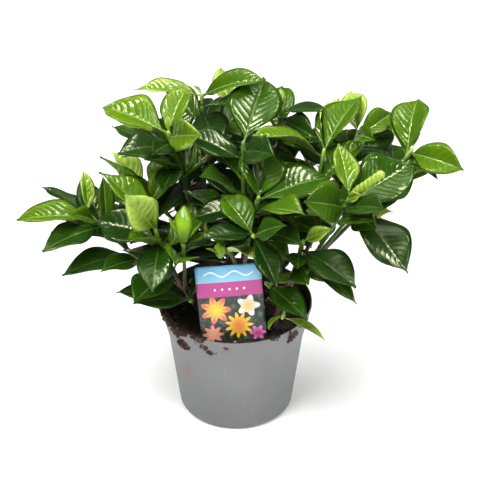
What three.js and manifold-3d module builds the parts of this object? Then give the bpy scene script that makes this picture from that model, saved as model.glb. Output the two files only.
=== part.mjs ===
// Potted gardenia: a glossy evergreen shrub in a grey plastic nursery pot with a plant card.
// Millimetres, +Z up, origin at the middle of the pot's underside, -Y towards the viewer.
import * as THREE from 'three';
import { mergeVertices } from 'three/addons/utils/BufferGeometryUtils.js';
import Module from 'manifold-3d';

const wasm = await Module();
wasm.setup();

// Driving dimensions of the pot: a 13 cm nursery pot with a flared collar.
const POT_HEIGHT = 104;
const RIM_RADIUS = 65;
const COLLAR_LOW_Z = 76;
const COLLAR_LOW_RADIUS = 58.9;
const BODY_TOP_RADIUS = 58.6;
const BASE_RADIUS = 49.6;
const BASE_ROUND = 3;
const WALL = 1.3;
const FLOOR = 2;
const POT_SIDES = 30;
const DRAIN_HOLES = 4;
const DRAIN_RADIUS = 5;
const DRAIN_CIRCLE = 33;
const DRAIN_SIDES = 8;

// Soil: just under the rim, domed and lumpy, and heaped up at the left front.
const FIT_GAP = 0.3;
const SOIL_EDGE_Z = 97;
const SOIL_EDGE_SLACK = 0.3;
const SOIL_DOME = 3;
const SOIL_HEAP = 4;
const SOIL_HEAP_AT = [-46, -22];
const SOIL_HEAP_SPREAD = 22;
const SOIL_LUMPS = 0.7;
const SOIL_LUMP_SIZES = [5, 6, 9];
const SOIL_RINGS = 3;

// Plant card: a flat plastic tag on a pointed foot, pushed into the soil at the front.
const CARD_WIDTH = 54;
const CARD_HEIGHT = 69;
const CARD_THICK = 0.7;
const CARD_FOOT = 18;
const CARD_SHOULDER = 4.5;
const CARD_AT = [-1, -52, 97];
const CARD_LEAN = 10;
const CARD_ROLL = 5;

// Stems: a trunk for each fork, then brown wood, green stem and young tip along one curve.
const TRUNK_RADIUS = 3.4;
const WOOD_RADIUS = 2.4;
const GREEN_RADIUS = 1.8;
const YOUNG_RADIUS = 1.4;
const TIP_RADIUS = 1;
const WOOD_SHARE = 0.26;
const STEM_SIDES = 4;
const TRUNK_STEPS = 4;
const WOOD_STEPS = 2;
const GREEN_STEPS = 3;
const YOUNG_STEPS = 2;
const STEM_REFERENCE = new THREE.Vector3(0.3, 1, 0.1);
const TRUNK_DEPTH = 28;
const TRUNK_STRAIGHT = 14;
const SHOOT_SAG = 0.12;
const FORK_SHARES = [1, 0.88, 0.95, 0.8, 0.84, 0.92, 0.76, 0.98];

// Leaves: one thickness all over, folded along the midrib, and set clear of each other.
const LEAF_THICK = 0.6;
const LEAF_CLEAR = 0.3;
const STALK_SHARE = 0.07;
const STALK_WIDTH = 0.06;
const LEAF_FULLEST = 1.04;
const LEAF_TAPER = 0.8;
const LEAF_BASE_TAPER = 0.35;
const LEAF_POINT = 0.09;
const LEAF_STATIONS = [0, 0.3, 0.55, 0.8, 1];
const RULE_STATIONS = [0, 0.38, 0.72, 1];
const OUTER_STATIONS = [0.24, 0.4, 0.6, 0.8, 1];
const OLD_FOLD = 14;
const YOUNG_FOLD = 24;
const YOUNG_TONE = 0.5;
const BUD_SIDES = 6;
const BUD_SHAPE = [[0, 0.35], [0.25, 0.8], [0.5, 1], [0.78, 0.72]];

// A leaf that would meet something bends away in widening rings, a little shorter in each.
const BEND_RINGS = 9;
const BEND_SPOKES = 8;
const BEND_STEP = 4.5;
const BEND_SHORTEN = 0.03;

// Holes round the trunks in the soil.
const HOLE_ROOM = 0.5;
const HOLE_EXTRA = 1;
const HOLE_TOP = 0.55;
const HOLE_STEPS = 3;
const DRAIN_DEPTH = 8;

// Points nearer than this are one point.
const MERGE = 1e-4;

// Woody stems: where each leaves the soil, and where it forks.
const TRUNKS = [
  { name: 'left_wood', root: [-28, -14], fork: [-48, -20, 134] },
  { name: 'back_left_wood', root: [-14, 20], fork: [-28, 16, 166] },
  { name: 'middle_wood', root: [2, -20], fork: [6, -30, 148] },
  { name: 'right_wood', root: [30, -28], fork: [48, -26, 148] },
  { name: 'back_right_wood', root: [18, 24], fork: [26, 32, 160] },
];

// Shoots. Each leaf row is: distance back from the tip, azimuth, rise, length, width, roll, arch, tone.
// Azimuth 0 is +X and 90 is +Y; tone runs from 0, an old dark leaf, to 1, a young bright one.
// A bud is: azimuth, rise, length, radius. Pairs are: how many by rule, and how far back they start.
const SHOOTS = [
  { name: 'far_left', trunk: 0, tip: [-121, -14, 199], young: 13, pairs: [2, 30],
    leaves: [
      [7, -157, 12, 66, 30, -10, 30, 0.7],
      [1, 100, 38, 38, 16, 28, 20, 0.95],
      [10, -118, 36, 44, 18, -50, 20, 0.58],
      [19, 148, 18, 68, 22, 8, 25, 0],
      [20, 97, 60, 46, 16, 20, 20, 0.5],
      [16, -138, 2, 61, 28, -16, 35, 0.2],
      [18, 118, 24, 54, 24, 0, 25, 0.1],
      [50, -150, 1, 66, 28, -10, 30, 0.05],
      [58, -128, 16, 52, 22, -16, 30, 0.25],
    ] },
  { name: 'left_front', trunk: 0, tip: [-64, -46, 203], young: 9, pairs: [3, 26],
    leaves: [
      [2, -146, 58, 50, 32, -85, 15, 1],
      [4, 139, 27, 72, 34, 8, 35, 0.7],
      [20, 90, -22, 44, 26, 8, 25, 0.25],
      [7, 116, 14, 45, 18, 14, 20, 0.6],
      [10, 156, 4, 60, 38, -26, 20, 0.15],
      [12, -94, -16, 54, 30, 0, 20, 0.2],
    ] },
  { name: 'left_back', trunk: 0, tip: [-74, -4, 202], young: 9, pairs: [4, 24],
    leaves: [
      [2, 138, 26, 60, 20, 18, 25, 0.55],
      [5, 60, 30, 48, 22, 10, 25, 0.7],
      [11, 125, 32, 58, 22, 10, 25, 0.15],
    ] },
  { name: 'upper_left', trunk: 1, tip: [-54, 0, 266], young: 12, pairs: [2, 44],
    leaves: [
      [1, 95, 60, 14, 6, 0, 10, 0.9],
      [3, 149, 6, 66, 40, -12, 30, 0.8],
      [2, 70, 28, 46, 30, -12, 25, 0.8],
      [5, -48, 24, 44, 30, 62, 30, 0.75],
      [10, -111, 14, 40, 20, -32, 25, 0.05],
      [14, -135, 18, 60, 28, -24, 35, 0.05],
      [22, 147, -8, 56, 24, 8, 30, 0.3],
      [26, 118, 20, 58, 26, 24, 25, 0.25],
      [32, 146, -8, 60, 26, 4, 30, 0.45],
      [30, -106, -4, 40, 24, 8, 25, 0.08],
    ] },
  { name: 'top_left', trunk: 1, tip: [-28, 46, 277], young: 9, pairs: [4, 26],
    leaves: [
      [3, -24, 25, 64, 28, 26, 40, 0.6],
      [2, 163, -3, 60, 25, -4, 20, 0.85],
      [1, 130, 20, 12, 6, 12, 10, 0.9],
      [11, -44, 28, 40, 20, 8, 20, 0.4],
      [13, -77, -4, 60, 34, 12, 25, 0],
      [24, 80, 7, 42, 26, 10, 25, 0],
    ] },
  { name: 'top_centre', trunk: 2, tip: [6, -15, 265], young: 0, pairs: [4, 30],
    leaves: [
      [2, 77, 28, 68, 46, 8, 22, 0.3],
      [5, -75, -52, 42, 22, -45, 20, 0.3],
      [7, -60, 22, 52, 28, 46, 25, 0.08],
      [14, 175, 12, 58, 30, -20, 25, 0],
    ] },
  { name: 'centre_front', trunk: 2, tip: [18, -60, 241], sag: -0.2, young: 8, pairs: [3, 30],
    leaves: [
      [2, 97, 28, 42, 14, 44, 20, 0.02],
      [10, 109, 25, 60, 40, 10, 25, 0.44],
      [11, 27, 8, 70, 38, 16, 35, 0.38],
      [15, 86, 20, 40, 24, 40, 20, 0.2],
      [22, 172, -16, 52, 28, -20, 25, 0],
    ] },
  { name: 'front_low', trunk: 2, tip: [14, -75, 214], sag: -0.36, young: 9, pairs: [0, 0],
    leaves: [
      [3, 125, 22, 46, 32, -6, 25, 0.52],
      [2, -38, 35, 38, 20, 45, 30, 0.3],
      [13, -150, 14, 44, 25, -14, 25, 0],
      [13, -62, -32, 48, 24, -8, 20, 0],
      [18, -130, 16, 32, 20, -24, 25, 0.05],
    ] },
  { name: 'right_top', trunk: 3, tip: [71, 0, 250], young: 12, pairs: [4, 28],
    leaves: [
      [6, -165, 21, 74, 36, 2, 35, 0.85],
      [3, 57, 23, 66, 34, -10, 30, 0.68],
      [1, 95, 33, 40, 10, -60, 20, 0.6],
    ] },
  { name: 'right_crown', trunk: 3, tip: [100, 22, 254], young: 10, pairs: [3, 26],
    leaves: [
      [2, 100, 28, 50, 26, -14, 25, 0.95],
      [4, -68, 22, 36, 20, 44, 45, 0.5],
      [6, 50, 4, 54, 24, 34, 30, 0.72],
      [12, 44, -4, 52, 26, 34, 25, 0.25],
      [19, 89, 5, 42, 26, -10, 25, 0.45],
    ] },
  { name: 'far_right', trunk: 3, tip: [143, 8, 246], young: 10, pairs: [1, 42],
    leaves: [
      [6, 76, 28, 58, 36, -14, 45, 0.64],
      [1, 60, 26, 18, 6, -24, 10, 0.9],
      [4, -41, 4, 53, 31, 40, 30, 0.7],
      [7, 115, 12, 40, 20, 30, 20, 0.7],
      [12, -47, 0, 38, 15, -22, 20, 0.25],
      [12, 170, 6, 44, 22, 20, 25, 0.12],
      [22, 87, 0, 50, 34, 8, 25, 0.35],
    ] },
  { name: 'right_front', trunk: 3, tip: [89, -55, 239], young: 8, pairs: [0, 0],
    bud: [-14, 44, 34, 3.4],
    leaves: [
      [2, 101, 33, 48, 24, 14, 20, 0.8],
      [4, -50, 38, 18, 10, 70, 30, 0.9],
      [10, 36, 12, 72, 46, 30, 25, 0.26],
      [11, -135, 28, 54, 36, -64, 25, 0.42],
      [14, -58, 28, 60, 26, 28, 25, 0.1],
      [26, -55, 28, 54, 26, 20, 25, 0.49],
      [42, 150, 5, 54, 28, -10, 25, 0.35],
      [54, 120, 20, 50, 26, 20, 25, 0.49],
    ] },
  { name: 'right_low', trunk: 3, tip: [53, -61, 202], young: 8, pairs: [1, 36],
    leaves: [
      [2, -14, 34, 28, 14, 46, 25, 0.95],
      [4, 125, 4, 52, 20, 28, 20, 0.75],
      [11, -48, -6, 62, 34, 12, 30, 0],
      [12, 90, 20, 48, 26, 14, 25, 0.1],
      [16, -92, 6, 32, 20, 0, 25, 0.1],
      [19, -46, -14, 66, 20, 8, 30, 0.2],
      [19, -80, 0, 30, 12, -22, 20, 0.6],
      [28, -80, 4, 36, 24, 32, 20, 0.35],
    ] },
  { name: 'right_side', trunk: 3, tip: [94, -42, 220], young: 0, pairs: [1, 16],
    leaves: [
      [2, -54, -20, 72, 40, 4, 30, 0],
      [4, -46, 28, 48, 24, 46, 25, 0.35],
      [6, 20, 22, 56, 26, 28, 25, 0.1],
    ] },
  { name: 'front_right_base', trunk: 3, tip: [24, -58, 160], young: 0, pairs: [0, 0],
    leaves: [
      [2, -56, -4, 56, 24, 12, 20, 0.2],
      [4, -24, 26, 32, 12, 20, 20, 0.8],
      [6, 10, 0, 30, 16, -22, 20, 0.3],
      [9, 70, 8, 44, 24, -20, 20, 0.1],
    ] },
  { name: 'rim_right', trunk: 3, tip: [38, -48, 117], young: 6, pairs: [0, 0],
    leaves: [
      [2, -48, 4, 50, 11, 0, 25, 1],
      [4, -140, -24, 18, 11, 34, 45, 0.85],
      [9, 100, 5, 28, 14, 8, 20, 0.15],
    ] },
  { name: 'front_left_base', trunk: 0, tip: [-37, -45, 133], young: 0, pairs: [0, 0],
    leaves: [
      [2, -146, 18, 58, 26, -16, 30, 0.15],
      [4, 103, -5, 32, 22, -20, 20, 0.15],
      [9, -176, 9, 62, 24, -18, 25, 0.12],
      [6, 60, 30, 30, 20, -30, 20, 0.2],
    ] },
  { name: 'bud_left', trunk: 0, tip: [-41, -62, 200], young: 16, pairs: [1, 24],
    bud: [88, 62, 30, 6.6],
    leaves: [
      [2, 160, 60, 26, 6, -20, 15, 0.8],
      [3, 10, 52, 24, 6, 20, 15, 0.65],
      [5, 20, 20, 30, 7, 20, 25, 0.7],
    ] },
  { name: 'bud_centre', trunk: 2, tip: [-12, -62, 186], sag: -0.56, young: 10, pairs: [2, 16],
    bud: [95, 60, 13.5, 4.6],
    leaves: [
      [3, -150, 40, 18, 5, -20, 15, 0.8],
      [22, 90, -43, 40, 26, 6, 20, 0],
      [32, 142, -30, 50, 26, -8, 20, 0.05],
    ] },
  { name: 'top_right_back', trunk: 4, tip: [38, 48, 265], young: 8, pairs: [3, 24],
    bud: [100, 60, 14, 3.4],
    leaves: [
      [3, 150, 24, 36, 18, 10, 25, 0.6],
      [5, -40, 18, 50, 20, 10, 25, 0.1],
      [10, -56, 14, 52, 26, 50, 25, 0.1],
      [18, -60, 6, 50, 26, 30, 25, 0.45],
      [26, -72, 4, 42, 24, 14, 25, 0.3],
    ] },
  { name: 'back_left_high', trunk: 1, tip: [-62, 62, 236], young: 12, pairs: [4, 3], leaves: [] },
  { name: 'back_left_low', trunk: 1, tip: [-80, 62, 178], young: 12, pairs: [4, 3],
    leaves: [
      [54, -86, 5, 54, 30, 8, 20, 0.08],
      [46, 72, -54, 60, 32, 6, 20, 0.05],
    ] },
  { name: 'back_centre_high', trunk: 4, tip: [-6, 76, 248], young: 12, pairs: [4, 3],
    leaves: [
      [80, -92, -11, 64, 30, -8, 20, 0.08],
    ] },
  { name: 'back_centre_low', trunk: 4, tip: [-10, 112, 188], young: 12, pairs: [4, 3],
    leaves: [
      [62, -110, -16, 60, 32, 8, 20, 0.05],
    ] },
  { name: 'back_right_high', trunk: 4, tip: [74, 78, 216], young: 12, pairs: [4, 3], leaves: [] },
  { name: 'back_right_low', trunk: 4, tip: [92, 72, 178], young: 12, pairs: [4, 3],
    leaves: [
      [60, -71, 11, 56, 28, 8, 20, 0.08],
      [52, -94, 5, 56, 28, -6, 20, 0.05],
    ] },
];

// Leaf pairs placed by rule: each pair stands a quarter turn from the one before.
const PAIR_SPACING = 13;
const PAIR_LENGTHS = [42, 56, 64];
const PAIR_RISE = 38;
const PAIR_RISE_STEP = 12;
const PAIR_TONES = [0.92, 0.55, 0.22];
const WIDTH_SHARE = 0.52;
const RULE_ARCH = 28;
const PAIR_TURN = 20;
const OLD_START = 20;
const RULE_SEED = 4100;
const JITTER = { azimuth: 36, rise: 16, roll: 30, length: 10, tone: 0.16 };

const radians = THREE.MathUtils.degToRad;
const vector = (p) => new THREE.Vector3(...p);

// The same run of numbers from 0 to 1 for the same seed.
function draws(seed) {
  let state = seed;
  return () => {
    state = (Math.imul(state, 1664525) + 1013904223) >>> 0;
    return state / 4294967296;
  };
}

// A closed three.js geometry as a solid that can be joined and cut.
function solidOf(geometry) {
  const bare = new THREE.BufferGeometry();
  bare.setAttribute('position', geometry.getAttribute('position').clone());
  bare.setIndex(geometry.index);
  const merged = mergeVertices(bare, MERGE);
  const corners = Array.from(merged.index.array);
  const kept = corners.filter((_, i) => {
    const [a, b, c] = corners.slice(i - (i % 3), i - (i % 3) + 3);
    return a !== b && b !== c && c !== a;
  });
  return new wasm.Manifold(new wasm.Mesh({
    numProp: 3,
    vertProperties: new Float32Array(merged.attributes.position.array),
    triVerts: new Uint32Array(kept),
  }));
}

// A solid as a named mesh of one material.
function meshOf(solid, name, material) {
  const { vertProperties, triVerts } = solid.getMesh();
  const geometry = new THREE.BufferGeometry();
  geometry.setAttribute('position', new THREE.BufferAttribute(new Float32Array(vertProperties), 3));
  geometry.setIndex(new THREE.BufferAttribute(new Uint32Array(triVerts), 1));
  geometry.computeVertexNormals();
  const mesh = new THREE.Mesh(geometry, material);
  mesh.name = name;
  return mesh;
}

// Points and corner indices as a three.js geometry.
function geometryOf(points, faces) {
  const geometry = new THREE.BufferGeometry();
  const values = points.flatMap((p) => p.toArray());
  geometry.setAttribute('position', new THREE.Float32BufferAttribute(values, 3));
  geometry.setIndex(faces);
  return geometry;
}

// A skin over rings of equal count, with a flat cap at each end; a last ring of one point is a tip.
function loft(rings) {
  const sides = rings[0].length;
  const faces = [];
  for (let i = 0; i + 1 < rings.length; i++) {
    const pointed = rings[i + 1].length === 1;
    for (let j = 0; j < sides; j++) {
      const k = (j + 1) % sides;
      const [a, b] = [i * sides + j, i * sides + k];
      if (pointed) faces.push(a, b, (i + 1) * sides);
      else faces.push(a, b, b + sides, a, b + sides, a + sides);
    }
  }
  const end = rings.at(-1).length === 1 ? 0 : (rings.length - 1) * sides;
  for (let j = 1; j + 1 < sides; j++) {
    faces.push(0, j + 1, j);
    if (end) faces.push(end, end + j, end + j + 1);
  }
  return geometryOf(rings.flat(), faces);
}

// A ring of points round a centre, square to a direction.
function ringAt(centre, along, radius, sides) {
  const across = STEM_REFERENCE.clone().cross(along).normalize();
  const other = along.clone().cross(across);
  return Array.from({ length: sides }, (_, j) => {
    const turn = (2 * Math.PI * j) / sides;
    return centre.clone()
      .addScaledVector(across, radius * Math.cos(turn))
      .addScaledVector(other, radius * Math.sin(turn));
  });
}

// A round tube along a curve between two shares of it, tapering from one radius to another.
function tube(curve, from, to, radiusFrom, radiusTo, steps) {
  return loft(Array.from({ length: steps + 1 }, (_, i) => {
    const at = from + ((to - from) * i) / steps;
    const radius = radiusFrom + ((radiusTo - radiusFrom) * i) / steps;
    return ringAt(curve.getPoint(at), curve.getTangent(at), radius, STEM_SIDES);
  }));
}

// The direction of an azimuth and a rise in degrees.
function headingOf(azimuth, rise) {
  const [az, el] = [radians(azimuth), radians(rise)];
  return new THREE.Vector3(Math.cos(az) * Math.cos(el), Math.sin(az) * Math.cos(el), Math.sin(el));
}

// Half width of a leaf at a share of its length: a short stalk, a tapered base and a pointed tip.
function leafHalfWidth(share, width) {
  const t = Math.max(0, (share - STALK_SHARE) / (1 - STALK_SHARE));
  const bulge = Math.sin(Math.PI * t ** LEAF_FULLEST) ** (LEAF_TAPER + LEAF_BASE_TAPER * (1 - t));
  const point = 1 - Math.exp((t - 1) / LEAF_POINT);
  return (width / 2) * Math.max(STALK_WIDTH, bulge * point);
}

// A leaf from its base point: the midrib is an arc, and each half lifts from it by the fold.
function leafBlade(base, leaf, grow, stations) {
  const [roll, arch] = [radians(leaf.roll), radians(leaf.arch)];
  const [length, thick] = [leaf.length + grow, LEAF_THICK + 2 * grow];
  const heading = headingOf(leaf.azimuth, leaf.rise);
  const flat = heading.clone().cross(new THREE.Vector3(0, 0, 1)).normalize();
  const up = flat.clone().cross(heading);
  const side = flat.clone().multiplyScalar(Math.cos(roll))
    .addScaledVector(up, -Math.sin(roll));
  const normal = up.clone().multiplyScalar(Math.cos(roll))
    .addScaledVector(flat, Math.sin(roll));
  const fold = radians(leaf.tone < YOUNG_TONE ? OLD_FOLD : YOUNG_FOLD);
  const section = (share, columns) => {
    const bend = arch * (0.5 - share);
    const half = leafHalfWidth(share, leaf.width) + grow;
    const middle = base.clone()
      .addScaledVector(heading, (length * (Math.sin(arch / 2) - Math.sin(bend))) / arch)
      .addScaledVector(normal, (length * (Math.cos(bend) - Math.cos(arch / 2))) / arch);
    const face = normal.clone().multiplyScalar(Math.cos(bend))
      .addScaledVector(heading, -Math.sin(bend));
    return [1, -1].flatMap((layer) => columns.map((u) => middle.clone()
      .addScaledVector(side, u * half * Math.cos(fold))
      .addScaledVector(face, Math.abs(u) * half * Math.sin(fold) + (layer * thick) / 2)));
  };
  const across = stations.slice(1, -1).flatMap((share) => section(share, [-1, 0, 1]));
  const points = [...section(stations[0], [0]), ...across, ...section(stations.at(-1), [0])];
  return geometryOf(points, leafFaces(stations.length));
}

// Triangles of a leaf: an edge of two points, sections of six, and an edge of two at the tip.
// Both faces are split alike, from the rim towards the midrib.
function leafFaces(sections) {
  const faces = [];
  const corner = (i, u, layer) => {
    if (i === 0) return layer;
    if (i === sections - 1) return 2 + 6 * (sections - 2) + layer;
    return 2 + 6 * (i - 1) + 3 * layer + 1 + u;
  };
  const add = (turned, ...loop) => {
    const [a, b, c] = turned ? loop.reverse() : loop;
    if (a !== b && b !== c && c !== a) faces.push(a, b, c);
  };
  for (let i = 0; i + 1 < sections; i++) {
    for (const u of [-1, 1]) {
      for (const layer of [0, 1]) {
        const turned = (u > 0) !== (layer > 0);
        const [rim, rib, nextRib, nextRim] = [corner(i, u, layer), corner(i, 0, layer),
          corner(i + 1, 0, layer), corner(i + 1, u, layer)];
        add(turned, rim, rib, nextRib);
        add(turned, rim, nextRib, nextRim);
      }
      const [top, low, nextTop, nextLow] = [corner(i, u, 0), corner(i, u, 1),
        corner(i + 1, u, 0), corner(i + 1, u, 1)];
      add(u > 0, top, nextTop, low);
      add(u > 0, low, nextTop, nextLow);
    }
  }
  return faces;
}

// A plump bud or rolled leaf: a spindle that is fullest past its middle and ends in a point.
function budSpindle(base, [azimuth, rise, length, radius]) {
  const heading = headingOf(azimuth, rise);
  const at = (share) => base.clone().addScaledVector(heading, length * share);
  const rings = BUD_SHAPE.map(([share, swell]) => ringAt(at(share), heading, radius * swell, BUD_SIDES));
  return loft([...rings, [at(1)]]);
}

// The pot: one thin turned wall with a flat floor, a stepped collar and drain holes near the floor's edge.
function potSolid() {
  const wall = [
    [0, 0],
    [BASE_RADIUS - BASE_ROUND, 0],
    [BASE_RADIUS, BASE_ROUND],
    [BODY_TOP_RADIUS, COLLAR_LOW_Z],
    [COLLAR_LOW_RADIUS, COLLAR_LOW_Z],
    [RIM_RADIUS, POT_HEIGHT],
    [RIM_RADIUS - WALL, POT_HEIGHT],
    [COLLAR_LOW_RADIUS - WALL, COLLAR_LOW_Z + WALL],
    [BODY_TOP_RADIUS - WALL, COLLAR_LOW_Z + WALL],
    [BASE_RADIUS - WALL, FLOOR],
    [0, FLOOR],
  ];
  const turned = new THREE.LatheGeometry(wall.map((p) => new THREE.Vector2(...p)), POT_SIDES);
  let pot = solidOf(turned.rotateX(Math.PI / 2));
  for (let i = 0; i < DRAIN_HOLES; i++) {
    const turn = (2 * Math.PI * i) / DRAIN_HOLES;
    const hole = new THREE.CylinderGeometry(DRAIN_RADIUS, DRAIN_RADIUS, DRAIN_DEPTH, DRAIN_SIDES);
    hole.rotateX(Math.PI / 2);
    hole.translate(DRAIN_CIRCLE * Math.cos(turn), DRAIN_CIRCLE * Math.sin(turn), 0);
    pot = pot.subtract(solidOf(hole));
  }
  return pot;
}

// Height of the soil above its edge level: a low dome, a heap at the left and small lumps.
function soilRise(x, y) {
  const spread = 1 - (x * x + y * y) / (RIM_RADIUS * RIM_RADIUS);
  const [fromX, fromY] = [x - SOIL_HEAP_AT[0], y - SOIL_HEAP_AT[1]];
  const heap = Math.exp(-(fromX ** 2 + fromY ** 2) / SOIL_HEAP_SPREAD ** 2);
  const [sizeX, sizeY, sizeBoth] = SOIL_LUMP_SIZES;
  const lumps = Math.sin(x / sizeX + 1) * Math.cos(y / sizeY) + Math.sin((x + 2 * y) / sizeBoth) / 2;
  return SOIL_DOME * spread + SOIL_HEAP * heap + SOIL_LUMPS * lumps;
}

// The soil fills the pot to just under the rim, a hair clear of the wall, with its holes cut out.
function soilSolid(holes) {
  const upCollar = (SOIL_EDGE_Z - COLLAR_LOW_Z) / (POT_HEIGHT - COLLAR_LOW_Z);
  const inner = THREE.MathUtils.lerp(COLLAR_LOW_RADIUS, RIM_RADIUS, upCollar) - WALL;
  const edge = inner - FIT_GAP - SOIL_EDGE_SLACK;
  const side = [
    [0, FLOOR + FIT_GAP],
    [BASE_RADIUS - WALL - FIT_GAP, FLOOR + FIT_GAP],
    [BODY_TOP_RADIUS - WALL - FIT_GAP, COLLAR_LOW_Z + WALL + FIT_GAP],
    [COLLAR_LOW_RADIUS - WALL - FIT_GAP - SOIL_EDGE_SLACK, COLLAR_LOW_Z + WALL + FIT_GAP],
  ];
  const top = Array.from({ length: SOIL_RINGS + 1 }, (_, i) => [edge * (1 - i / SOIL_RINGS), SOIL_EDGE_Z]);
  const profile = [...side, ...top].map((p) => new THREE.Vector2(...p));
  const turned = new THREE.LatheGeometry(profile, POT_SIDES).rotateX(Math.PI / 2);
  const at = turned.getAttribute('position');
  for (let i = 0; i < at.count; i++) {
    const onTop = at.getZ(i) > (COLLAR_LOW_Z + SOIL_EDGE_Z) / 2;
    if (onTop) at.setZ(i, at.getZ(i) + soilRise(at.getX(i), at.getY(i)));
  }
  return holes.reduce((soil, hole) => soil.subtract(hole), solidOf(turned));
}

// The plant card: a flat tag on a pointed foot, grown by a margin when it cuts its own slot.
function cardSolid(margin) {
  const half = CARD_WIDTH / 2 + margin;
  const outline = new THREE.Shape([
    [-half, CARD_HEIGHT],
    [-half, -CARD_SHOULDER],
    [0, -CARD_FOOT - margin],
    [half, -CARD_SHOULDER],
    [half, CARD_HEIGHT],
  ].map((p) => new THREE.Vector2(...p)));
  const thick = CARD_THICK + 2 * margin;
  const card = new THREE.ExtrudeGeometry(outline, { depth: thick, bevelEnabled: false });
  card.translate(0, 0, -thick / 2);
  card.rotateZ(radians(CARD_ROLL));
  card.rotateX(radians(90 - CARD_LEAN));
  card.translate(...CARD_AT);
  return solidOf(card);
}

// A trunk rises straight out of the soil, then leans to its fork.
function trunkCurve(trunk, extra) {
  const [x, y] = trunk.root;
  return new THREE.QuadraticBezierCurve3(
    new THREE.Vector3(x, y, SOIL_EDGE_Z - TRUNK_DEPTH - extra),
    new THREE.Vector3(x, y, SOIL_EDGE_Z + TRUNK_STRAIGHT),
    vector(trunk.fork),
  );
}

// A shoot leaves its trunk at its own share of the trunk's length and curves up towards its tip.
function shootCurve(shoot, index) {
  const before = SHOOTS.slice(0, index).filter((other) => other.trunk === shoot.trunk).length;
  const start = trunkCurve(TRUNKS[shoot.trunk], 0).getPoint(FORK_SHARES[before]);
  const tip = vector(shoot.tip);
  const bow = start.clone().lerp(tip, 0.5);
  bow.z -= (shoot.sag ?? SHOOT_SAG) * start.distanceTo(tip);
  return new THREE.QuadraticBezierCurve3(start, bow, tip);
}

// The leaves of a shoot's table, as named values.
function readLeaves(shoot) {
  return shoot.leaves.map(([back, azimuth, rise, length, width, roll, arch, tone]) => (
    { back, azimuth, rise, length, width, roll, arch, tone }));
}

// Pairs of leaves by rule: opposite, a quarter turn from pair to pair, older and lower further back.
function ruleLeaves(shoot, index) {
  const draw = draws(RULE_SEED + index);
  const spread = (size) => size * (draw() - 0.5);
  const [count, start] = shoot.pairs;
  const [x, y] = shoot.tip;
  const outwards = THREE.MathUtils.radToDeg(Math.atan2(y, x));
  return Array.from({ length: 2 * count }, (_, i) => {
    const pair = Math.floor(i / 2);
    const age = Math.min(pair + (start > OLD_START ? 1 : 0), PAIR_LENGTHS.length - 1);
    const length = PAIR_LENGTHS[age] + spread(JITTER.length);
    return {
      back: start + pair * PAIR_SPACING,
      azimuth: outwards + 90 * (pair % 2) + 180 * (i % 2) + PAIR_TURN + spread(JITTER.azimuth),
      rise: PAIR_RISE - PAIR_RISE_STEP * age + spread(JITTER.rise),
      length,
      width: length * WIDTH_SHARE,
      roll: spread(JITTER.roll),
      arch: RULE_ARCH,
      tone: PAIR_TONES[age] + spread(JITTER.tone),
    };
  });
}

// A leaf as it is first tried, then turned aside in widening rings.
function bendsOf(leaf) {
  const tries = [leaf];
  for (let ring = 1; ring <= BEND_RINGS; ring++) {
    for (let spoke = 0; spoke < BEND_SPOKES; spoke++) {
      const turn = (2 * Math.PI * spoke) / BEND_SPOKES;
      tries.push({
        ...leaf,
        azimuth: leaf.azimuth + BEND_STEP * ring * Math.cos(turn),
        rise: leaf.rise + BEND_STEP * ring * Math.sin(turn),
        length: leaf.length * (1 - BEND_SHORTEN * ring),
      });
    }
  }
  return tries;
}

// Whether two solids share any volume; most pairs are told apart by their boxes alone.
function meet(one, other) {
  const [a, b] = [one.box, other.box];
  if ([0, 1, 2].some((k) => a.min[k] > b.max[k] || b.min[k] > a.max[k])) return false;
  const shared = one.solid.intersect(other.solid);
  const found = !shared.isEmpty();
  shared.delete();
  return found;
}
const boxed = (solid) => ({ solid, box: solid.boundingBox() });

// Sets a leaf at the first bend where it clears every other node, and its own node's leaves further out.
function setLeaf(node, base, leaf, stations) {
  for (const bent of bendsOf(leaf)) {
    const room = boxed(solidOf(leafBlade(base, bent, LEAF_CLEAR, stations)));
    if (set.some((thing) => thing.node !== node && meet(room, thing))) continue;
    const outer = boxed(solidOf(leafBlade(base, bent, LEAF_CLEAR, OUTER_STATIONS)));
    if (set.some((thing) => thing.node === node && thing.outer && meet(outer, thing.outer))) continue;
    const blade = solidOf(leafBlade(base, bent, 0, stations));
    set.push({ node, ...boxed(blade), outer });
    return;
  }
}

const set = [];
const setSolid = (node, solid) => set.push({ node, ...boxed(solid) });

// Trunks first, with the brown stretch of every shoot that grows from them.
TRUNKS.forEach((trunk) => {
  setSolid(trunk.name, solidOf(tube(trunkCurve(trunk, 0), 0, 1, TRUNK_RADIUS, WOOD_RADIUS, TRUNK_STEPS)));
});
const curves = SHOOTS.map(shootCurve);
SHOOTS.forEach((shoot, i) => {
  const reach = curves[i].getPoint(0).distanceTo(curves[i].getPoint(1));
  const gap = FIT_GAP / reach;
  const youngFrom = 1 - shoot.young / reach;
  const wood = tube(curves[i], 0, WOOD_SHARE, WOOD_RADIUS, GREEN_RADIUS, WOOD_STEPS);
  const green = tube(curves[i], WOOD_SHARE + gap, youngFrom, GREEN_RADIUS, YOUNG_RADIUS, GREEN_STEPS);
  setSolid(TRUNKS[shoot.trunk].name, solidOf(wood));
  setSolid(`${shoot.name}_old`, solidOf(green));
  if (shoot.young) {
    const young = tube(curves[i], youngFrom + gap, 1, YOUNG_RADIUS, TIP_RADIUS, YOUNG_STEPS);
    setSolid(`${shoot.name}_young`, solidOf(young));
  }
  if (shoot.bud) setSolid(`${shoot.name}_young`, solidOf(budSpindle(curves[i].getPoint(1), shoot.bud)));
});

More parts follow.
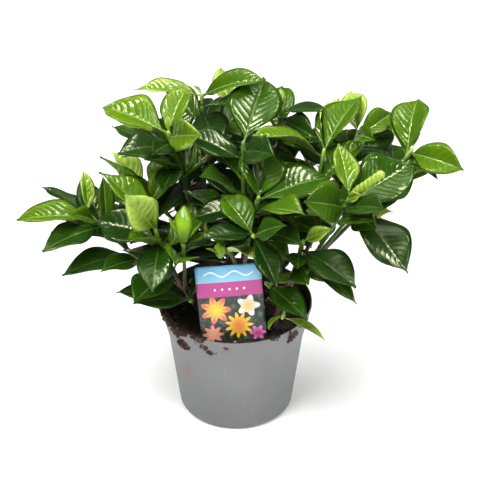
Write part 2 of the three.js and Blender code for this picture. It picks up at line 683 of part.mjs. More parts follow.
// The pot, the soil with its plain holes and slot, and the card.
const holeRadius = TRUNK_RADIUS + HOLE_ROOM;
const holes = TRUNKS.map((trunk) => (
  solidOf(tube(trunkCurve(trunk, HOLE_EXTRA), 0, HOLE_TOP, holeRadius, holeRadius, HOLE_STEPS))));
setSolid('pot', potSolid());
setSolid('soil', soilSolid([...holes, cardSolid(FIT_GAP)]));
setSolid('plant_card', cardSolid(0));

// Leaves: those seen from the front first, then the pairs placed by rule.
for (const [leavesOf, stations] of [[readLeaves, LEAF_STATIONS], [ruleLeaves, RULE_STATIONS]]) {
  SHOOTS.forEach((shoot, i) => {
    const reach = curves[i].getPoint(0).distanceTo(curves[i].getPoint(1));
    for (const leaf of leavesOf(shoot, i)) {
      const node = `${shoot.name}_${leaf.back < shoot.young ? 'young' : 'old'}`;
      setLeaf(node, curves[i].getPoint(1 - leaf.back / reach), leaf, stations);
    }
  });
}

// Each node's solids joined into one, with the finish of its kind.
const finish = (color, roughness) => new THREE.MeshStandardMaterial({ color, roughness, metalness: 0 });
const FINISHES = {
  pot: ['#8b8b89', 0.6],
  soil: ['#2c211a', 0.95],
  card: ['#4fa3c4', 0.35],
  wood: ['#6b5640', 0.8],
  old: ['#234a1b', 0.3],
  young: ['#86a83a', 0.35],
};
const gardenia = new THREE.Group();
gardenia.name = 'potted_gardenia';
for (const node of new Set(set.map((thing) => thing.node))) {
  const solids = set.filter((thing) => thing.node === node).map((thing) => thing.solid);
  const kind = node.split('_').at(-1);
  gardenia.add(meshOf(wasm.Manifold.union(solids), node, finish(...FINISHES[kind])));
}

export default gardenia;
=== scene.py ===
"""Potted gardenia: fine leaves, stems, buds, soil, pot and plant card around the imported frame."""

import itertools
import math

import bpy
import numpy as np
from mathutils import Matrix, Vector


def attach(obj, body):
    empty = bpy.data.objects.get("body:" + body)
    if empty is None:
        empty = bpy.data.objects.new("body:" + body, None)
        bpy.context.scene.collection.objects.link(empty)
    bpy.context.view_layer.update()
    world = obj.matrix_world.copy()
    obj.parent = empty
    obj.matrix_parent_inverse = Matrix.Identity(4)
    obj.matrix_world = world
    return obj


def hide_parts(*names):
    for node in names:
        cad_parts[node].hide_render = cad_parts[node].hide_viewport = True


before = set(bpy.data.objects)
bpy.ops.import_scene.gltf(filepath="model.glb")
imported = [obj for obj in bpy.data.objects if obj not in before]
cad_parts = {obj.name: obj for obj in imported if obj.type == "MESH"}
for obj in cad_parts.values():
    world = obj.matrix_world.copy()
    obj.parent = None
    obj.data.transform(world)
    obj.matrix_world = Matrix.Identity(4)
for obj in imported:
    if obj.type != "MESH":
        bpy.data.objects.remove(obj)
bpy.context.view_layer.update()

# Shapes are worked out in millimetres and put into the meshes in metres.
MM = 0.001
Z = np.array([0, 0, 1.0])

# The pot's own sizes, as in the solids.
POT_HEIGHT = 104
RIM_RADIUS = 65
COLLAR_LOW_Z = 76
COLLAR_LOW_RADIUS = 58.9
BODY_TOP_RADIUS = 58.6
BASE_RADIUS = 49.6
WALL = 1.3
FLOOR = 2
DRAIN_HOLES = 4
DRAIN_RADIUS = 5
DRAIN_CIRCLE = 33
FIT_GAP = 0.3
COLLAR_SLOPE = (RIM_RADIUS - COLLAR_LOW_RADIUS) / (POT_HEIGHT - COLLAR_LOW_Z)
SOIL_EDGE_Z = 97

# Stems, as in the solids: trunk, wood, green stem and young tip along one curve.
TRUNK_RADIUS = 3.4
WOOD_RADIUS = 2.4
GREEN_RADIUS = 1.8
YOUNG_RADIUS = 1.4
TIP_RADIUS = 1
WOOD_SHARE = 0.26
TRUNK_DEPTH = 28
TRUNK_STRAIGHT = 14
SHOOT_SAG = 0.12
FORK_SHARES = [1, 0.88, 0.95, 0.8, 0.84, 0.92, 0.76, 0.98]
STEM_REFERENCE = np.array([0.3, 1, 0.1])

# Fine stems: sides, length of a ring, knots on the trunks, and how each knot swells.
STEM_SIDES = 10
STEM_STEP = 1.6
TRUNK_KNOTS = (0.75, 0.86, 0.95)
KNOT_SWELL = 0.55
KNOT_LENGTH = 1.1
BUD_SIDES = 18

# Leaves, as in the solids.
LEAF_THICK = 0.6
STALK_SHARE = 0.07
STALK_WIDTH = 0.06
LEAF_FULLEST = 1.04
LEAF_TAPER = 0.8
LEAF_BASE_TAPER = 0.35
LEAF_POINT = 0.09
OLD_FOLD = 14
YOUNG_FOLD = 24
YOUNG_TONE = 0.5
BEND_RINGS = 9
BEND_SPOKES = 8
BEND_STEP = 4.5
BEND_SHORTEN = 0.03

# A leaf has the bend whose corners lie nearest the node's, and within the limit on the mean, where far
# ones count as the cap. The stations are the corners' places along the table's and the rule's leaves.
MATCH_CAP = 4
MATCH_LIMIT = 1
TABLE_STATIONS = (0.55, 0.8)
RULE_STATIONS = (0.38, 0.72)

# Woody stems: where each leaves the soil, and where it forks.
TRUNKS = [
    ("left_wood", (-28, -14), (-48, -20, 134)),
    ("back_left_wood", (-14, 20), (-28, 16, 166)),
    ("middle_wood", (2, -20), (6, -30, 148)),
    ("right_wood", (30, -28), (48, -26, 148)),
    ("back_right_wood", (18, 24), (26, 32, 160)),
]


def shoot(name, trunk, tip, young, pairs, leaves, sag=SHOOT_SAG, bud=None):
    """One row of the table of shoots. Each leaf is: distance back from the tip, azimuth, rise, length,
    width, roll, arch, tone. A bud is: azimuth, rise, length, radius. Pairs: how many, and from where."""
    return {"name": name, "trunk": trunk, "tip": np.array(tip, float), "young": young,
            "pairs": pairs, "leaves": leaves, "sag": sag, "bud": bud}


# Each leaf's tone is its colour by age and also painted light and shade: some leaves that lie in shadow or
# face away from the light are set lighter, and some that face it darker.
SHOOTS = [
    shoot("far_left", 0, (-121, -14, 199), 13, (2, 30), [
        (7, -157, 12, 66, 30, -10, 30, 0.7),
        (1, 100, 38, 38, 16, 28, 20, 0.95),
        (10, -118, 36, 44, 18, -50, 20, 0.58),
        (19, 148, 18, 68, 22, 8, 25, 0),
        (20, 97, 60, 46, 16, 20, 20, 0.5),
        (16, -138, 2, 61, 28, -16, 35, 0.2),
        (18, 118, 24, 54, 24, 0, 25, 0.1),
        (50, -150, 1, 66, 28, -10, 30, 0.05),
        (58, -128, 16, 52, 22, -16, 30, 0.25),
    ]),
    shoot("left_front", 0, (-64, -46, 203), 9, (3, 26), [
        (2, -146, 58, 50, 32, -85, 15, 1),
        (4, 139, 27, 72, 34, 8, 35, 0.7),
        (20, 90, -22, 44, 26, 8, 25, 0.25),
        (7, 116, 14, 45, 18, 14, 20, 0.6),
        (10, 156, 4, 60, 38, -26, 20, 0.15),
        (12, -94, -16, 54, 30, 0, 20, 0.2),
    ]),
    shoot("left_back", 0, (-74, -4, 202), 9, (4, 24), [
        (2, 138, 26, 60, 20, 18, 25, 0.55),
        (5, 60, 30, 48, 22, 10, 25, 0.7),
        (11, 125, 32, 58, 22, 10, 25, 0.15),
    ]),
    shoot("upper_left", 1, (-54, 0, 266), 12, (2, 44), [
        (1, 95, 60, 14, 6, 0, 10, 0.9),
        (3, 149, 6, 66, 40, -12, 30, 0.8),
        (2, 70, 28, 46, 30, -12, 25, 0.8),
        (5, -48, 24, 44, 30, 62, 30, 0.75),
        (10, -111, 14, 40, 20, -32, 25, 0.05),
        (14, -135, 18, 60, 28, -24, 35, 0.05),
        (22, 147, -8, 56, 24, 8, 30, 0.3),
        (26, 118, 20, 58, 26, 24, 25, 0.25),
        (32, 146, -8, 60, 26, 4, 30, 0.45),
        (30, -106, -4, 40, 24, 8, 25, 0.08),
    ]),
    shoot("top_left", 1, (-28, 46, 277), 9, (4, 26), [
        (3, -24, 25, 64, 28, 26, 40, 0.6),
        (2, 163, -3, 60, 25, -4, 20, 0.85),
        (1, 130, 20, 12, 6, 12, 10, 0.9),
        (11, -44, 28, 40, 20, 8, 20, 0.4),
        (13, -77, -4, 60, 34, 12, 25, 0),
        (24, 80, 7, 42, 26, 10, 25, 0),
    ]),
    shoot("top_centre", 2, (6, -15, 265), 0, (4, 30), [
        (2, 77, 28, 68, 46, 8, 22, 0.3),
        (5, -75, -52, 42, 22, -45, 20, 0.3),
        (7, -60, 22, 52, 28, 46, 25, 0.08),
        (14, 175, 12, 58, 30, -20, 25, 0),
    ]),
    shoot("centre_front", 2, (18, -60, 241), 8, (3, 30), [
        (2, 97, 28, 42, 14, 44, 20, 0.02),
        (10, 109, 25, 60, 40, 10, 25, 0.44),
        (11, 27, 8, 70, 38, 16, 35, 0.38),
        (15, 86, 20, 40, 24, 40, 20, 0.2),
        (22, 172, -16, 52, 28, -20, 25, 0),
    ], sag=-0.2),
    shoot("front_low", 2, (14, -75, 214), 9, (0, 0), [
        (3, 125, 22, 46, 32, -6, 25, 0.52),
        (2, -38, 35, 38, 20, 45, 30, 0.3),
        (13, -150, 14, 44, 25, -14, 25, 0),
        (13, -62, -32, 48, 24, -8, 20, 0),
        (18, -130, 16, 32, 20, -24, 25, 0.05),
    ], sag=-0.36),
    shoot("right_top", 3, (71, 0, 250), 12, (4, 28), [
        (6, -165, 21, 74, 36, 2, 35, 0.85),
        (3, 57, 23, 66, 34, -10, 30, 0.68),
        (1, 95, 33, 40, 10, -60, 20, 0.6),
    ]),
    shoot("right_crown", 3, (100, 22, 254), 10, (3, 26), [
        (2, 100, 28, 50, 26, -14, 25, 0.95),
        (4, -68, 22, 36, 20, 44, 45, 0.5),
        (6, 50, 4, 54, 24, 34, 30, 0.72),
        (12, 44, -4, 52, 26, 34, 25, 0.25),
        (19, 89, 5, 42, 26, -10, 25, 0.45),
    ]),
    shoot("far_right", 3, (143, 8, 246), 10, (1, 42), [
        (6, 76, 28, 58, 36, -14, 45, 0.64),
        (1, 60, 26, 18, 6, -24, 10, 0.9),
        (4, -41, 4, 53, 31, 40, 30, 0.7),
        (7, 115, 12, 40, 20, 30, 20, 0.7),
        (12, -47, 0, 38, 15, -22, 20, 0.25),
        (12, 170, 6, 44, 22, 20, 25, 0.12),
        (22, 87, 0, 50, 34, 8, 25, 0.35),
    ]),
    shoot("right_front", 3, (89, -55, 239), 8, (0, 0), [
        (2, 101, 33, 48, 24, 14, 20, 0.8),
        (4, -50, 38, 18, 10, 70, 30, 0.9),
        (10, 36, 12, 72, 46, 30, 25, 0.26),
        (11, -135, 28, 54, 36, -64, 25, 0.42),
        (14, -58, 28, 60, 26, 28, 25, 0.1),
        (26, -55, 28, 54, 26, 20, 25, 0.49),
        (42, 150, 5, 54, 28, -10, 25, 0.35),
        (54, 120, 20, 50, 26, 20, 25, 0.49),
    ], bud=(-14, 44, 34, 3.4)),
    shoot("right_low", 3, (53, -61, 202), 8, (1, 36), [
        (2, -14, 34, 28, 14, 46, 25, 0.95),
        (4, 125, 4, 52, 20, 28, 20, 0.75),
        (11, -48, -6, 62, 34, 12, 30, 0),
        (12, 90, 20, 48, 26, 14, 25, 0.1),
        (16, -92, 6, 32, 20, 0, 25, 0.1),
        (19, -46, -14, 66, 20, 8, 30, 0.2),
        (19, -80, 0, 30, 12, -22, 20, 0.6),
        (28, -80, 4, 36, 24, 32, 20, 0.35),
    ]),
    shoot("right_side", 3, (94, -42, 220), 0, (1, 16), [
        (2, -54, -20, 72, 40, 4, 30, 0),
        (4, -46, 28, 48, 24, 46, 25, 0.35),
        (6, 20, 22, 56, 26, 28, 25, 0.1),
    ]),
    shoot("front_right_base", 3, (24, -58, 160), 0, (0, 0), [
        (2, -56, -4, 56, 24, 12, 20, 0.2),
        (4, -24, 26, 32, 12, 20, 20, 0.8),
        (6, 10, 0, 30, 16, -22, 20, 0.3),
        (9, 70, 8, 44, 24, -20, 20, 0.1),
    ]),
    shoot("rim_right", 3, (38, -48, 117), 6, (0, 0), [
        (2, -48, 4, 50, 11, 0, 25, 1),
        (4, -140, -24, 18, 11, 34, 45, 0.85),
        (9, 100, 5, 28, 14, 8, 20, 0.15),
    ]),
    shoot("front_left_base", 0, (-37, -45, 133), 0, (0, 0), [
        (2, -146, 18, 58, 26, -16, 30, 0.15),
        (4, 103, -5, 32, 22, -20, 20, 0.15),
        (9, -176, 9, 62, 24, -18, 25, 0.12),
        (6, 60, 30, 30, 20, -30, 20, 0.2),
    ]),
    shoot("bud_left", 0, (-41, -62, 200), 16, (1, 24), [
        (2, 160, 60, 26, 6, -20, 15, 0.8),
        (3, 10, 52, 24, 6, 20, 15, 0.65),
        (5, 20, 20, 30, 7, 20, 25, 0.7),
    ], bud=(88, 62, 30, 6.6)),
    shoot("bud_centre", 2, (-12, -62, 186), 10, (2, 16), [
        (3, -150, 40, 18, 5, -20, 15, 0.8),
        (22, 90, -43, 40, 26, 6, 20, 0),
        (32, 142, -30, 50, 26, -8, 20, 0.05),
    ], sag=-0.56, bud=(95, 60, 13.5, 4.6)),
    shoot("top_right_back", 4, (38, 48, 265), 8, (3, 24), [
        (3, 150, 24, 36, 18, 10, 25, 0.6),
        (5, -40, 18, 50, 20, 10, 25, 0.1),
        (10, -56, 14, 52, 26, 50, 25, 0.1),
        (18, -60, 6, 50, 26, 30, 25, 0.45),
        (26, -72, 4, 42, 24, 14, 25, 0.3),
    ], bud=(100, 60, 14, 3.4)),
    shoot("back_left_high", 1, (-62, 62, 236), 12, (4, 3), []),
    shoot("back_left_low", 1, (-80, 62, 178), 12, (4, 3), [
        (54, -86, 5, 54, 30, 8, 20, 0.08),
        (46, 72, -54, 60, 32, 6, 20, 0.05),
    ]),
    shoot("back_centre_high", 4, (-6, 76, 248), 12, (4, 3), [
        (80, -92, -11, 64, 30, -8, 20, 0.08),
    ]),
    shoot("back_centre_low", 4, (-10, 112, 188), 12, (4, 3), [
        (62, -110, -16, 60, 32, 8, 20, 0.05),
    ]),
    shoot("back_right_high", 4, (74, 78, 216), 12, (4, 3), []),
    shoot("back_right_low", 4, (92, 72, 178), 12, (4, 3), [
        (60, -71, 11, 56, 28, 8, 20, 0.08),
        (52, -94, 5, 56, 28, -6, 20, 0.05),
    ]),
]

# Shoots whose bud is a young leaf still rolled up.
ROLLED_LEAVES = ["right_front"]

# Leaf pairs placed by rule, as in the solids.
PAIR_SPACING = 13
PAIR_LENGTHS = [42, 56, 64]
PAIR_RISE = 38
PAIR_RISE_STEP = 12
# The oldest pairs' tone is raised as painted light, since those leaves lie in deep shadow.
PAIR_TONES = [0.92, 0.55, 0.22]
WIDTH_SHARE = 0.52
RULE_ARCH = 28
PAIR_TURN = 20
OLD_START = 20
RULE_SEED = 4100
JITTER = {"azimuth": 36, "rise": 16, "roll": 30, "length": 10, "tone": 0.16}
LEAF_KEYS = ("back", "azimuth", "rise", "length", "width", "roll", "arch", "tone")

# Fine blades: steps along and across, thickness, and the veins' spacing, slant, curve and wobble.
LEAF_ROWS = 68
LEAF_ACROSS = 10
BLADE_THICK = 0.5
VEIN_SPACING = 6
VEIN_SKEW = 0.24
VEIN_CURVE = 1.25
VEIN_WOBBLE = 0.24
SCENE_SEED = 618

# Places of the foliage's finishes in each piece's list.
LEAF, STEM, BUD = range(3)


# Curves and directions

def unit(vectors):
    """Each vector over its length."""
    return vectors / np.linalg.norm(vectors, axis=-1, keepdims=True)


def heading_of(azimuth, rise):
    """The directions of azimuths and rises in degrees, from +X turning towards +Y, then up."""
    az, el = np.radians(azimuth), np.radians(rise)
    return np.stack([np.cos(az) * np.cos(el), np.sin(az) * np.cos(el), np.sin(el)], -1)


class Curve:
    """A quadratic curve: (1-t)^2 of its start, 2t(1-t) of its bow and t^2 of its end."""

    def __init__(self, start, bow, end):
        self.start, self.bow, self.end = (np.asarray(p, float) for p in (start, bow, end))

    def at(self, t):
        t = np.asarray(t, float)[..., None]
        return (1 - t) ** 2 * self.start + 2 * t * (1 - t) * self.bow + t ** 2 * self.end

    def along(self, t):
        t = np.asarray(t, float)[..., None]
        return unit((1 - t) * (self.bow - self.start) + t * (self.end - self.bow))

    def reach(self):
        return float(np.linalg.norm(self.end - self.start))


def trunk_curve(trunk):
    """A trunk rises straight out of the soil, then leans to its fork."""
    _, (x, y), fork = TRUNKS[trunk]
    return Curve((x, y, SOIL_EDGE_Z - TRUNK_DEPTH), (x, y, SOIL_EDGE_Z + TRUNK_STRAIGHT), fork)


def shoot_curve(index):
    """A shoot leaves its trunk at its own share of it, bows down by its sag and ends at its tip."""
    row = SHOOTS[index]
    before = sum(other["trunk"] == row["trunk"] for other in SHOOTS[:index])
    start = trunk_curve(row["trunk"]).at(FORK_SHARES[before])
    bow = (start + row["tip"]) / 2
    bow = bow - Z * row["sag"] * np.linalg.norm(row["tip"] - start)
    return Curve(start, bow, row["tip"])


CURVES = [shoot_curve(i) for i in range(len(SHOOTS))]


# Leaves of the table and by rule, and the bend that the solids gave each one

def read_leaves(index):
    """The leaves of a shoot's row."""
    return [dict(zip(LEAF_KEYS, row)) for row in SHOOTS[index]["leaves"]]


def draws(seed):
    """The run of numbers from 0 to 1 that the solids draw from a seed."""
    state = seed
    while True:
        state = (state * 1664525 + 1013904223) % 2 ** 32
        yield state / 2 ** 32


def rule_leaves(index):
    """Opposite pairs, a quarter turn from pair to pair, older and lower further back."""
    row = SHOOTS[index]
    run = draws(RULE_SEED + index)
    count, start = row["pairs"]
    outwards = math.degrees(math.atan2(row["tip"][1], row["tip"][0]))
    leaves = []
    for i in range(2 * count):
        pair = i // 2
        age = min(pair + (start > OLD_START), len(PAIR_LENGTHS) - 1)
        length, azimuth, rise, roll, tone = (
            JITTER[key] * (next(run) - 0.5) for key in ("length", "azimuth", "rise", "roll", "tone"))
        length += PAIR_LENGTHS[age]
        leaves.append({
            "back": start + pair * PAIR_SPACING,
            "azimuth": outwards + 90 * (pair % 2) + 180 * (i % 2) + PAIR_TURN + azimuth,
            "rise": PAIR_RISE - PAIR_RISE_STEP * age + rise,
            "length": length,
            "width": length * WIDTH_SHARE,
            "roll": roll,
            "arch": RULE_ARCH,
            "tone": PAIR_TONES[age] + tone,
        })
    return leaves


def half_width(share, width):
    """Half a leaf's width: a power of a sine that swells past the middle, cut to a point at the tip."""
    t = np.clip((share - STALK_SHARE) / (1 - STALK_SHARE), 0, 1)
    bulge = np.sin(np.pi * t ** LEAF_FULLEST) ** (LEAF_TAPER + LEAF_BASE_TAPER * (1 - t))
    point = 1 - np.exp((t - 1) / LEAF_POINT)
    return width / 2 * np.maximum(STALK_WIDTH, bulge * point)


def leaf_frame(leaf, share, twist=0.0):
    """The midrib's points, and the blade's side and face there: an arc of the leaf's arch that starts
    at the base, in the upright plane of the heading rolled by the roll, with a twist added."""
    roll, arch = np.radians(leaf["roll"]), np.radians(leaf["arch"])
    heading = heading_of(leaf["azimuth"], leaf["rise"])
    flat = unit(np.cross(heading, Z))
    up = np.cross(flat, heading)
    wide = (..., None)
    side = flat * np.cos(roll)[wide] - up * np.sin(roll)[wide]
    normal = up * np.cos(roll)[wide] + flat * np.sin(roll)[wide]
    bend = arch * (0.5 - share)
    forward = leaf["length"] * (np.sin(arch / 2) - np.sin(bend)) / arch
    rise = leaf["length"] * (np.cos(bend) - np.cos(arch / 2)) / arch
    middle = leaf["base"] + heading * forward[wide] + normal * rise[wide]
    face = normal * np.cos(bend)[wide] - heading * np.sin(bend)[wide]
    side = np.broadcast_to(side, face.shape)
    turn = (np.zeros_like(bend) + twist)[wide]
    return middle, side * np.cos(turn) + face * np.sin(turn), face * np.cos(turn) - side * np.sin(turn)


def fold_of(tone):
    """How far each half of a leaf lifts from its midrib: young leaves are folded more."""
    return np.radians(np.where(np.asarray(tone) < YOUNG_TONE, OLD_FOLD, YOUNG_FOLD))


def bends_of(leaf):
    """Every bend that the solids may have given a leaf: as drawn, or aside in widening rings."""
    ring = np.concatenate([[0], np.repeat(np.arange(1, BEND_RINGS + 1), BEND_SPOKES)])
    spoke = np.concatenate([[0], np.tile(np.arange(BEND_SPOKES), BEND_RINGS)])
    turn = 2 * np.pi * spoke / BEND_SPOKES
    return {
        "azimuth": leaf["azimuth"] + BEND_STEP * ring * np.cos(turn),
        "rise": leaf["rise"] + BEND_STEP * ring * np.sin(turn),
        "length": leaf["length"] * (1 - BEND_SHORTEN * ring),
    }


NODE_POINTS = {}


def node_points(node):
    """The distinct corners of a CAD node, in millimetres."""
    if node not in NODE_POINTS:
        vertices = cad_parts[node].data.vertices
        flat = np.zeros(3 * len(vertices), np.float32)
        vertices.foreach_get("co", flat)
        NODE_POINTS[node] = np.unique(np.round(flat.reshape(-1, 3) / MM, 2), axis=0)
    return NODE_POINTS[node]


def set_as_in_frame(leaf, node, stations):
    """The leaf with the bend whose corners lie on the CAD node's corners, or None where it has none.
    The distance from each corner of each bend to the nearest corner of the node is capped and averaged."""
    bends = bends_of(leaf)
    count = len(bends["azimuth"])
    tries = {key: np.full((count, 1), float(leaf[key])) for key in ("roll", "arch")}
    tries |= {key: value[:, None] for key, value in bends.items()}
    tries["base"] = leaf["base"]
    share = np.array(stations)[None, :]
    middle, side, face = leaf_frame(tries, share)
    half = half_width(share, leaf["width"])[..., None]
    fold = fold_of(leaf["tone"])
    aside = side * half * np.cos(fold)
    lift = half * np.sin(fold)
    corners = [middle + u * aside + face * (lift + layer * LEAF_THICK / 2)
               for u in (-1, 1) for layer in (-1, 1)]
    corners = np.concatenate(corners, 1)
    apart = np.linalg.norm(corners[:, :, None] - node_points(node), axis=-1).min(-1)
    score = np.minimum(apart, MATCH_CAP).mean(-1)
    best = int(score.argmin())
    if score[best] > MATCH_LIMIT:
        return None
    return leaf | {key: float(value[best]) for key, value in bends.items()}


def all_leaves():
    """The leaves of each CAD node, with the bends of the frame."""
    found = {}
    for leaves_of, stations in ((read_leaves, TABLE_STATIONS), (rule_leaves, RULE_STATIONS)):
        for i, row in enumerate(SHOOTS):
            for leaf in leaves_of(i):
                age = "young" if leaf["back"] < row["young"] else "old"
                node = f"{row['name']}_{age}"
                leaf["base"] = CURVES[i].at(1 - leaf["back"] / CURVES[i].reach())
                placed = set_as_in_frame(leaf, node, stations)
                if placed:
                    found.setdefault(node, []).append(placed)
    return found


# Meshes

def grid_faces(rows, ring, start=0):
    """Quads between rows of a closed ring of points, then a fan of triangles to a pole at each end.
    The first pole's index is start, then come the rows, then the last pole."""
    i, j = np.meshgrid(np.arange(rows - 1), np.arange(ring), indexing="ij")
    k = (j + 1) % ring
    first = start + 1
    quads = first + np.stack([i * ring + j, i * ring + k, (i + 1) * ring + k, (i + 1) * ring + j], -1)
    j = np.arange(ring)
    k = (j + 1) % ring
    end = first + rows * ring
    low = np.stack([np.full(ring, start), first + k, first + j], -1)
    high = np.stack([np.full(ring, end), end - ring + j, end - ring + k], -1)
    return quads.reshape(-1, 4), np.concatenate([low, high])


def closed(rows, first, last):
    """The points of rows of a closed ring in one run, with a pole put before them and one after.
    Axes before those of the rows, the places round and the coordinates stay."""
    lead = rows.shape[:-3]
    first, last = (np.broadcast_to(pole, (*lead, 3))[..., None, :] for pole in (first, last))
    return np.concatenate([first, rows.reshape(*lead, -1, 3), last], -2)


def alone(values):
    """Single values as the first of three."""
    return values[..., None] * np.array([1, 0, 0])


class Part:
    """Gathers the surfaces of one piece, each with its finish and its values at every point."""

    def __init__(self):
        self.points, self.quads, self.tris, self.values = [], [], [], []
        self.quad_finish, self.tri_finish = [], []
        self.count = 0

    def add(self, points, quads, tris, finish, **values):
        """One more surface, its faces numbered from its own first point."""
        self.points.append(points)
        self.quads.append(quads + self.count)
        self.tris.append(tris + self.count)
        self.quad_finish.append(np.full(len(quads), finish))
        self.tri_finish.append(np.full(len(tris), finish))
        self.values.append((len(points), values))
        self.count += len(points)

    def attribute(self, mesh, name):
        """One vector for each point, nought where a surface has none."""
        rows = [np.broadcast_to(values.get(name, np.zeros(3)), (count, 3)) for count, values in self.values]
        data = mesh.attributes.new(name, "FLOAT_VECTOR", "POINT").data
        data.foreach_set("vector", np.concatenate(rows).astype(np.float32).ravel())

    def piece(self, name, nodes, finishes, smooth_faces=True):
        """The object: its mesh in metres, its materials, and what it stands for in the frame."""
        quads, tris = np.concatenate(self.quads), np.concatenate(self.tris)
        corners = np.concatenate([quads.ravel(), tris.ravel()])
        totals = np.concatenate([np.full(len(quads), 4), np.full(len(tris), 3)])
        mesh = bpy.data.meshes.new(name)
        mesh.vertices.add(self.count)
        mesh.vertices.foreach_set("co", (np.concatenate(self.points) * MM).astype(np.float32).ravel())
        mesh.loops.add(len(corners))
        mesh.loops.foreach_set("vertex_index", corners.astype(np.int32))
        mesh.polygons.add(len(totals))
        mesh.polygons.foreach_set("loop_start", (np.cumsum(totals) - totals).astype(np.int32))
        mesh.update(calc_edges=True)
        finish = np.concatenate(self.quad_finish + self.tri_finish)
        for material in finishes:
            mesh.materials.append(material)
        mesh.polygons.foreach_set("material_index", finish.astype(np.int32))
        mesh.polygons.foreach_set("use_smooth", np.full(len(totals), smooth_faces))
        for key in sorted({key for _, values in self.values for key in values}):
            self.attribute(mesh, key)
        made = bpy.data.objects.new(name, mesh)
        bpy.context.collection.objects.link(made)
        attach(made, "root")
        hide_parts(*nodes)
        return made


def column(leaves, key):
    """One value of every leaf, shaped to spread over rows and places across."""
    return np.array([leaf[key] for leaf in leaves], float)[:, None, None]


def blade_ring():
    """Places across a blade, once round it: over the top from rim to rim, closer at the midrib, then
    back underneath."""
    even = np.linspace(-1, 1, LEAF_ACROSS + 1)
    top = np.sign(even) * np.abs(even) ** 1.25
    across = np.concatenate([top, top[-2:0:-1]])
    layer = np.concatenate([[0], np.ones(LEAF_ACROSS - 1), [0], -np.ones(LEAF_ACROSS - 1)])
    return across, layer


def smooth(value, low, high):
    """0 below low, 1 above high, and a smooth step between."""
    t = np.clip((value - low) / (high - low), 0, 1)
    return t * t * (3 - 2 * t)


def vein_count(leaves):
    """How many veins each half of a leaf has: one for every spacing of its length."""
    return np.round(column(leaves, "length") / VEIN_SPACING)


def blade_height(leaves, share, across, half, chance):
    """How far the blade stands above its midrib's plane: each half lifts by the fold with a rounded
    root, swells between its veins as a power of a sine of the vein count, waves at its rim, and sways
    from side to side along its length."""
    out = np.abs(across)
    tone, width = column(leaves, "tone"), column(leaves, "width")
    fold = fold_of(tone)
    rounded = (np.sqrt(out ** 2 + 0.004) - 0.063) / 0.939 * (1.3 - 0.3 * out ** 2)
    wobble = VEIN_WOBBLE * np.sin(2 * np.pi * (1.7 * share + chance[3]))
    skewed = share - VEIN_SKEW * out ** VEIN_CURVE
    phase = vein_count(leaves) * skewed + 0.5 * (across > 0) + wobble
    swell = np.abs(np.sin(np.pi * phase)) ** 0.8
    depth = (0.12 + 0.8 * tone) * np.minimum(1, width / 26) * (0.6 + 0.8 * chance[2])
    inside = smooth(share, 0.08, 0.2) * smooth(1 - share, 0.02, 0.15)
    spread = (1 - np.exp(-out / 0.12)) * (1 - out ** 4) * inside
    turn = 2 * np.pi * (chance[1] + share * (1.5 + chance[2])) + 2.1 * (across > 0)
    wave = width * (0.02 + 0.03 * chance[3]) * out ** 3 * np.sin(turn)
    sway = width * 0.03 * across * np.sin(2 * np.pi * (chance[3] + 1.3 * share)) * inside
    return half * np.sin(fold) * rounded + depth * (swell - 0.5) * spread + wave + sway


def blade_body(leaves, share, across, layer, half):
    """How far each face stands from the blade's middle: a thin blade closed at its rims, a round
    stalk, and a midrib that is a groove on top and a ridge below."""
    stalk = 1 - smooth(share, 0.05, 0.11)
    blade = BLADE_THICK / 2 * np.sqrt(1 - across ** 6)
    round_stalk = 0.85 * half * np.sqrt(1 - across ** 2)
    from_rib = np.abs(across) * half
    size = column(leaves, "length") / 60 * (1 - 0.7 * share)
    groove = np.where(layer > 0, 0.18 * np.exp(-(from_rib / 0.7) ** 2), 0)
    ridge = np.where(layer < 0, 0.7 * np.exp(-(from_rib / 0.8) ** 2), 0)
    body = stalk * round_stalk + (1 - stalk) * blade
    return layer * body - (groove + ridge) * size * (1 - stalk)


def add_leaves(part, leaves, finish, rng):
    """The closed blades of one node, worked out together: leaves by rows by places round the blade.
    The rows are even along a blade, the first and last moved a little nearer its ends."""
    share = np.linspace(0, 1, LEAF_ROWS + 1)[1:-1][None, :, None]
    share = share + 0.012 * (share - 0.5)
    across, layer = (values[None, None, :] for values in blade_ring())
    chance = rng.random((4, len(leaves), 1, 1))
    given = {key: column(leaves, key) for key in ("azimuth", "rise", "length", "roll", "arch")}
    given["base"] = np.array([leaf["base"] for leaf in leaves])[:, None, None, :]
    twist = 0.3 * (chance[0] - 0.5) * (share - 0.2)
    middle, side, face = leaf_frame(given, share, twist)
    half = half_width(share, column(leaves, "width"))
    height = blade_height(leaves, share, across, half, chance)
    height = height + blade_body(leaves, share, across, layer, half)
    reach = across * half * np.cos(fold_of(column(leaves, "tone")))
    rows = middle + side * reach[..., None] + face * height[..., None]
    ends = leaf_frame(given, np.array([0.0, 1.0])[None, :, None])[0][:, :, 0]
    count = len(leaves)
    points = closed(rows, ends[:, 0], ends[:, 1])
    grid = (count, share.size, across.size)
    blade = np.stack([np.broadcast_to(value, grid) for value in (across, share, layer)], -1)
    kind = np.concatenate([column(leaves, "tone"), chance[3], vein_count(leaves)], -1)
    from_rib = closed(alone(np.abs(across) * half), 0, 0)
    quads, tris = grid_faces(share.size, across.size)
    step = points.shape[1] * np.arange(count)[:, None, None]
    part.add(points.reshape(-1, 3), (quads + step).reshape(-1, 4), (tris + step).reshape(-1, 3), finish,
             blade=closed(blade, 0, (0, 1, 0)).reshape(-1, 3),
             kind=np.broadcast_to(kind, points.shape).reshape(-1, 3), rib=from_rib.reshape(-1, 3))


def tube_rings(centres, along, radii, sides):
    """Rings of points square to a path: radius times cosine and sine on two directions across it."""
    across = unit(np.cross(STEM_REFERENCE, along))
    other = np.cross(along, across)
    turn = 2 * np.pi * np.arange(sides) / sides
    radii = np.broadcast_to(np.asarray(radii, float).reshape(len(centres), -1), (len(centres), sides))
    reach = across[:, None] * (radii * np.cos(turn))[..., None]
    return centres[:, None] + reach + other[:, None] * (radii * np.sin(turn))[..., None]


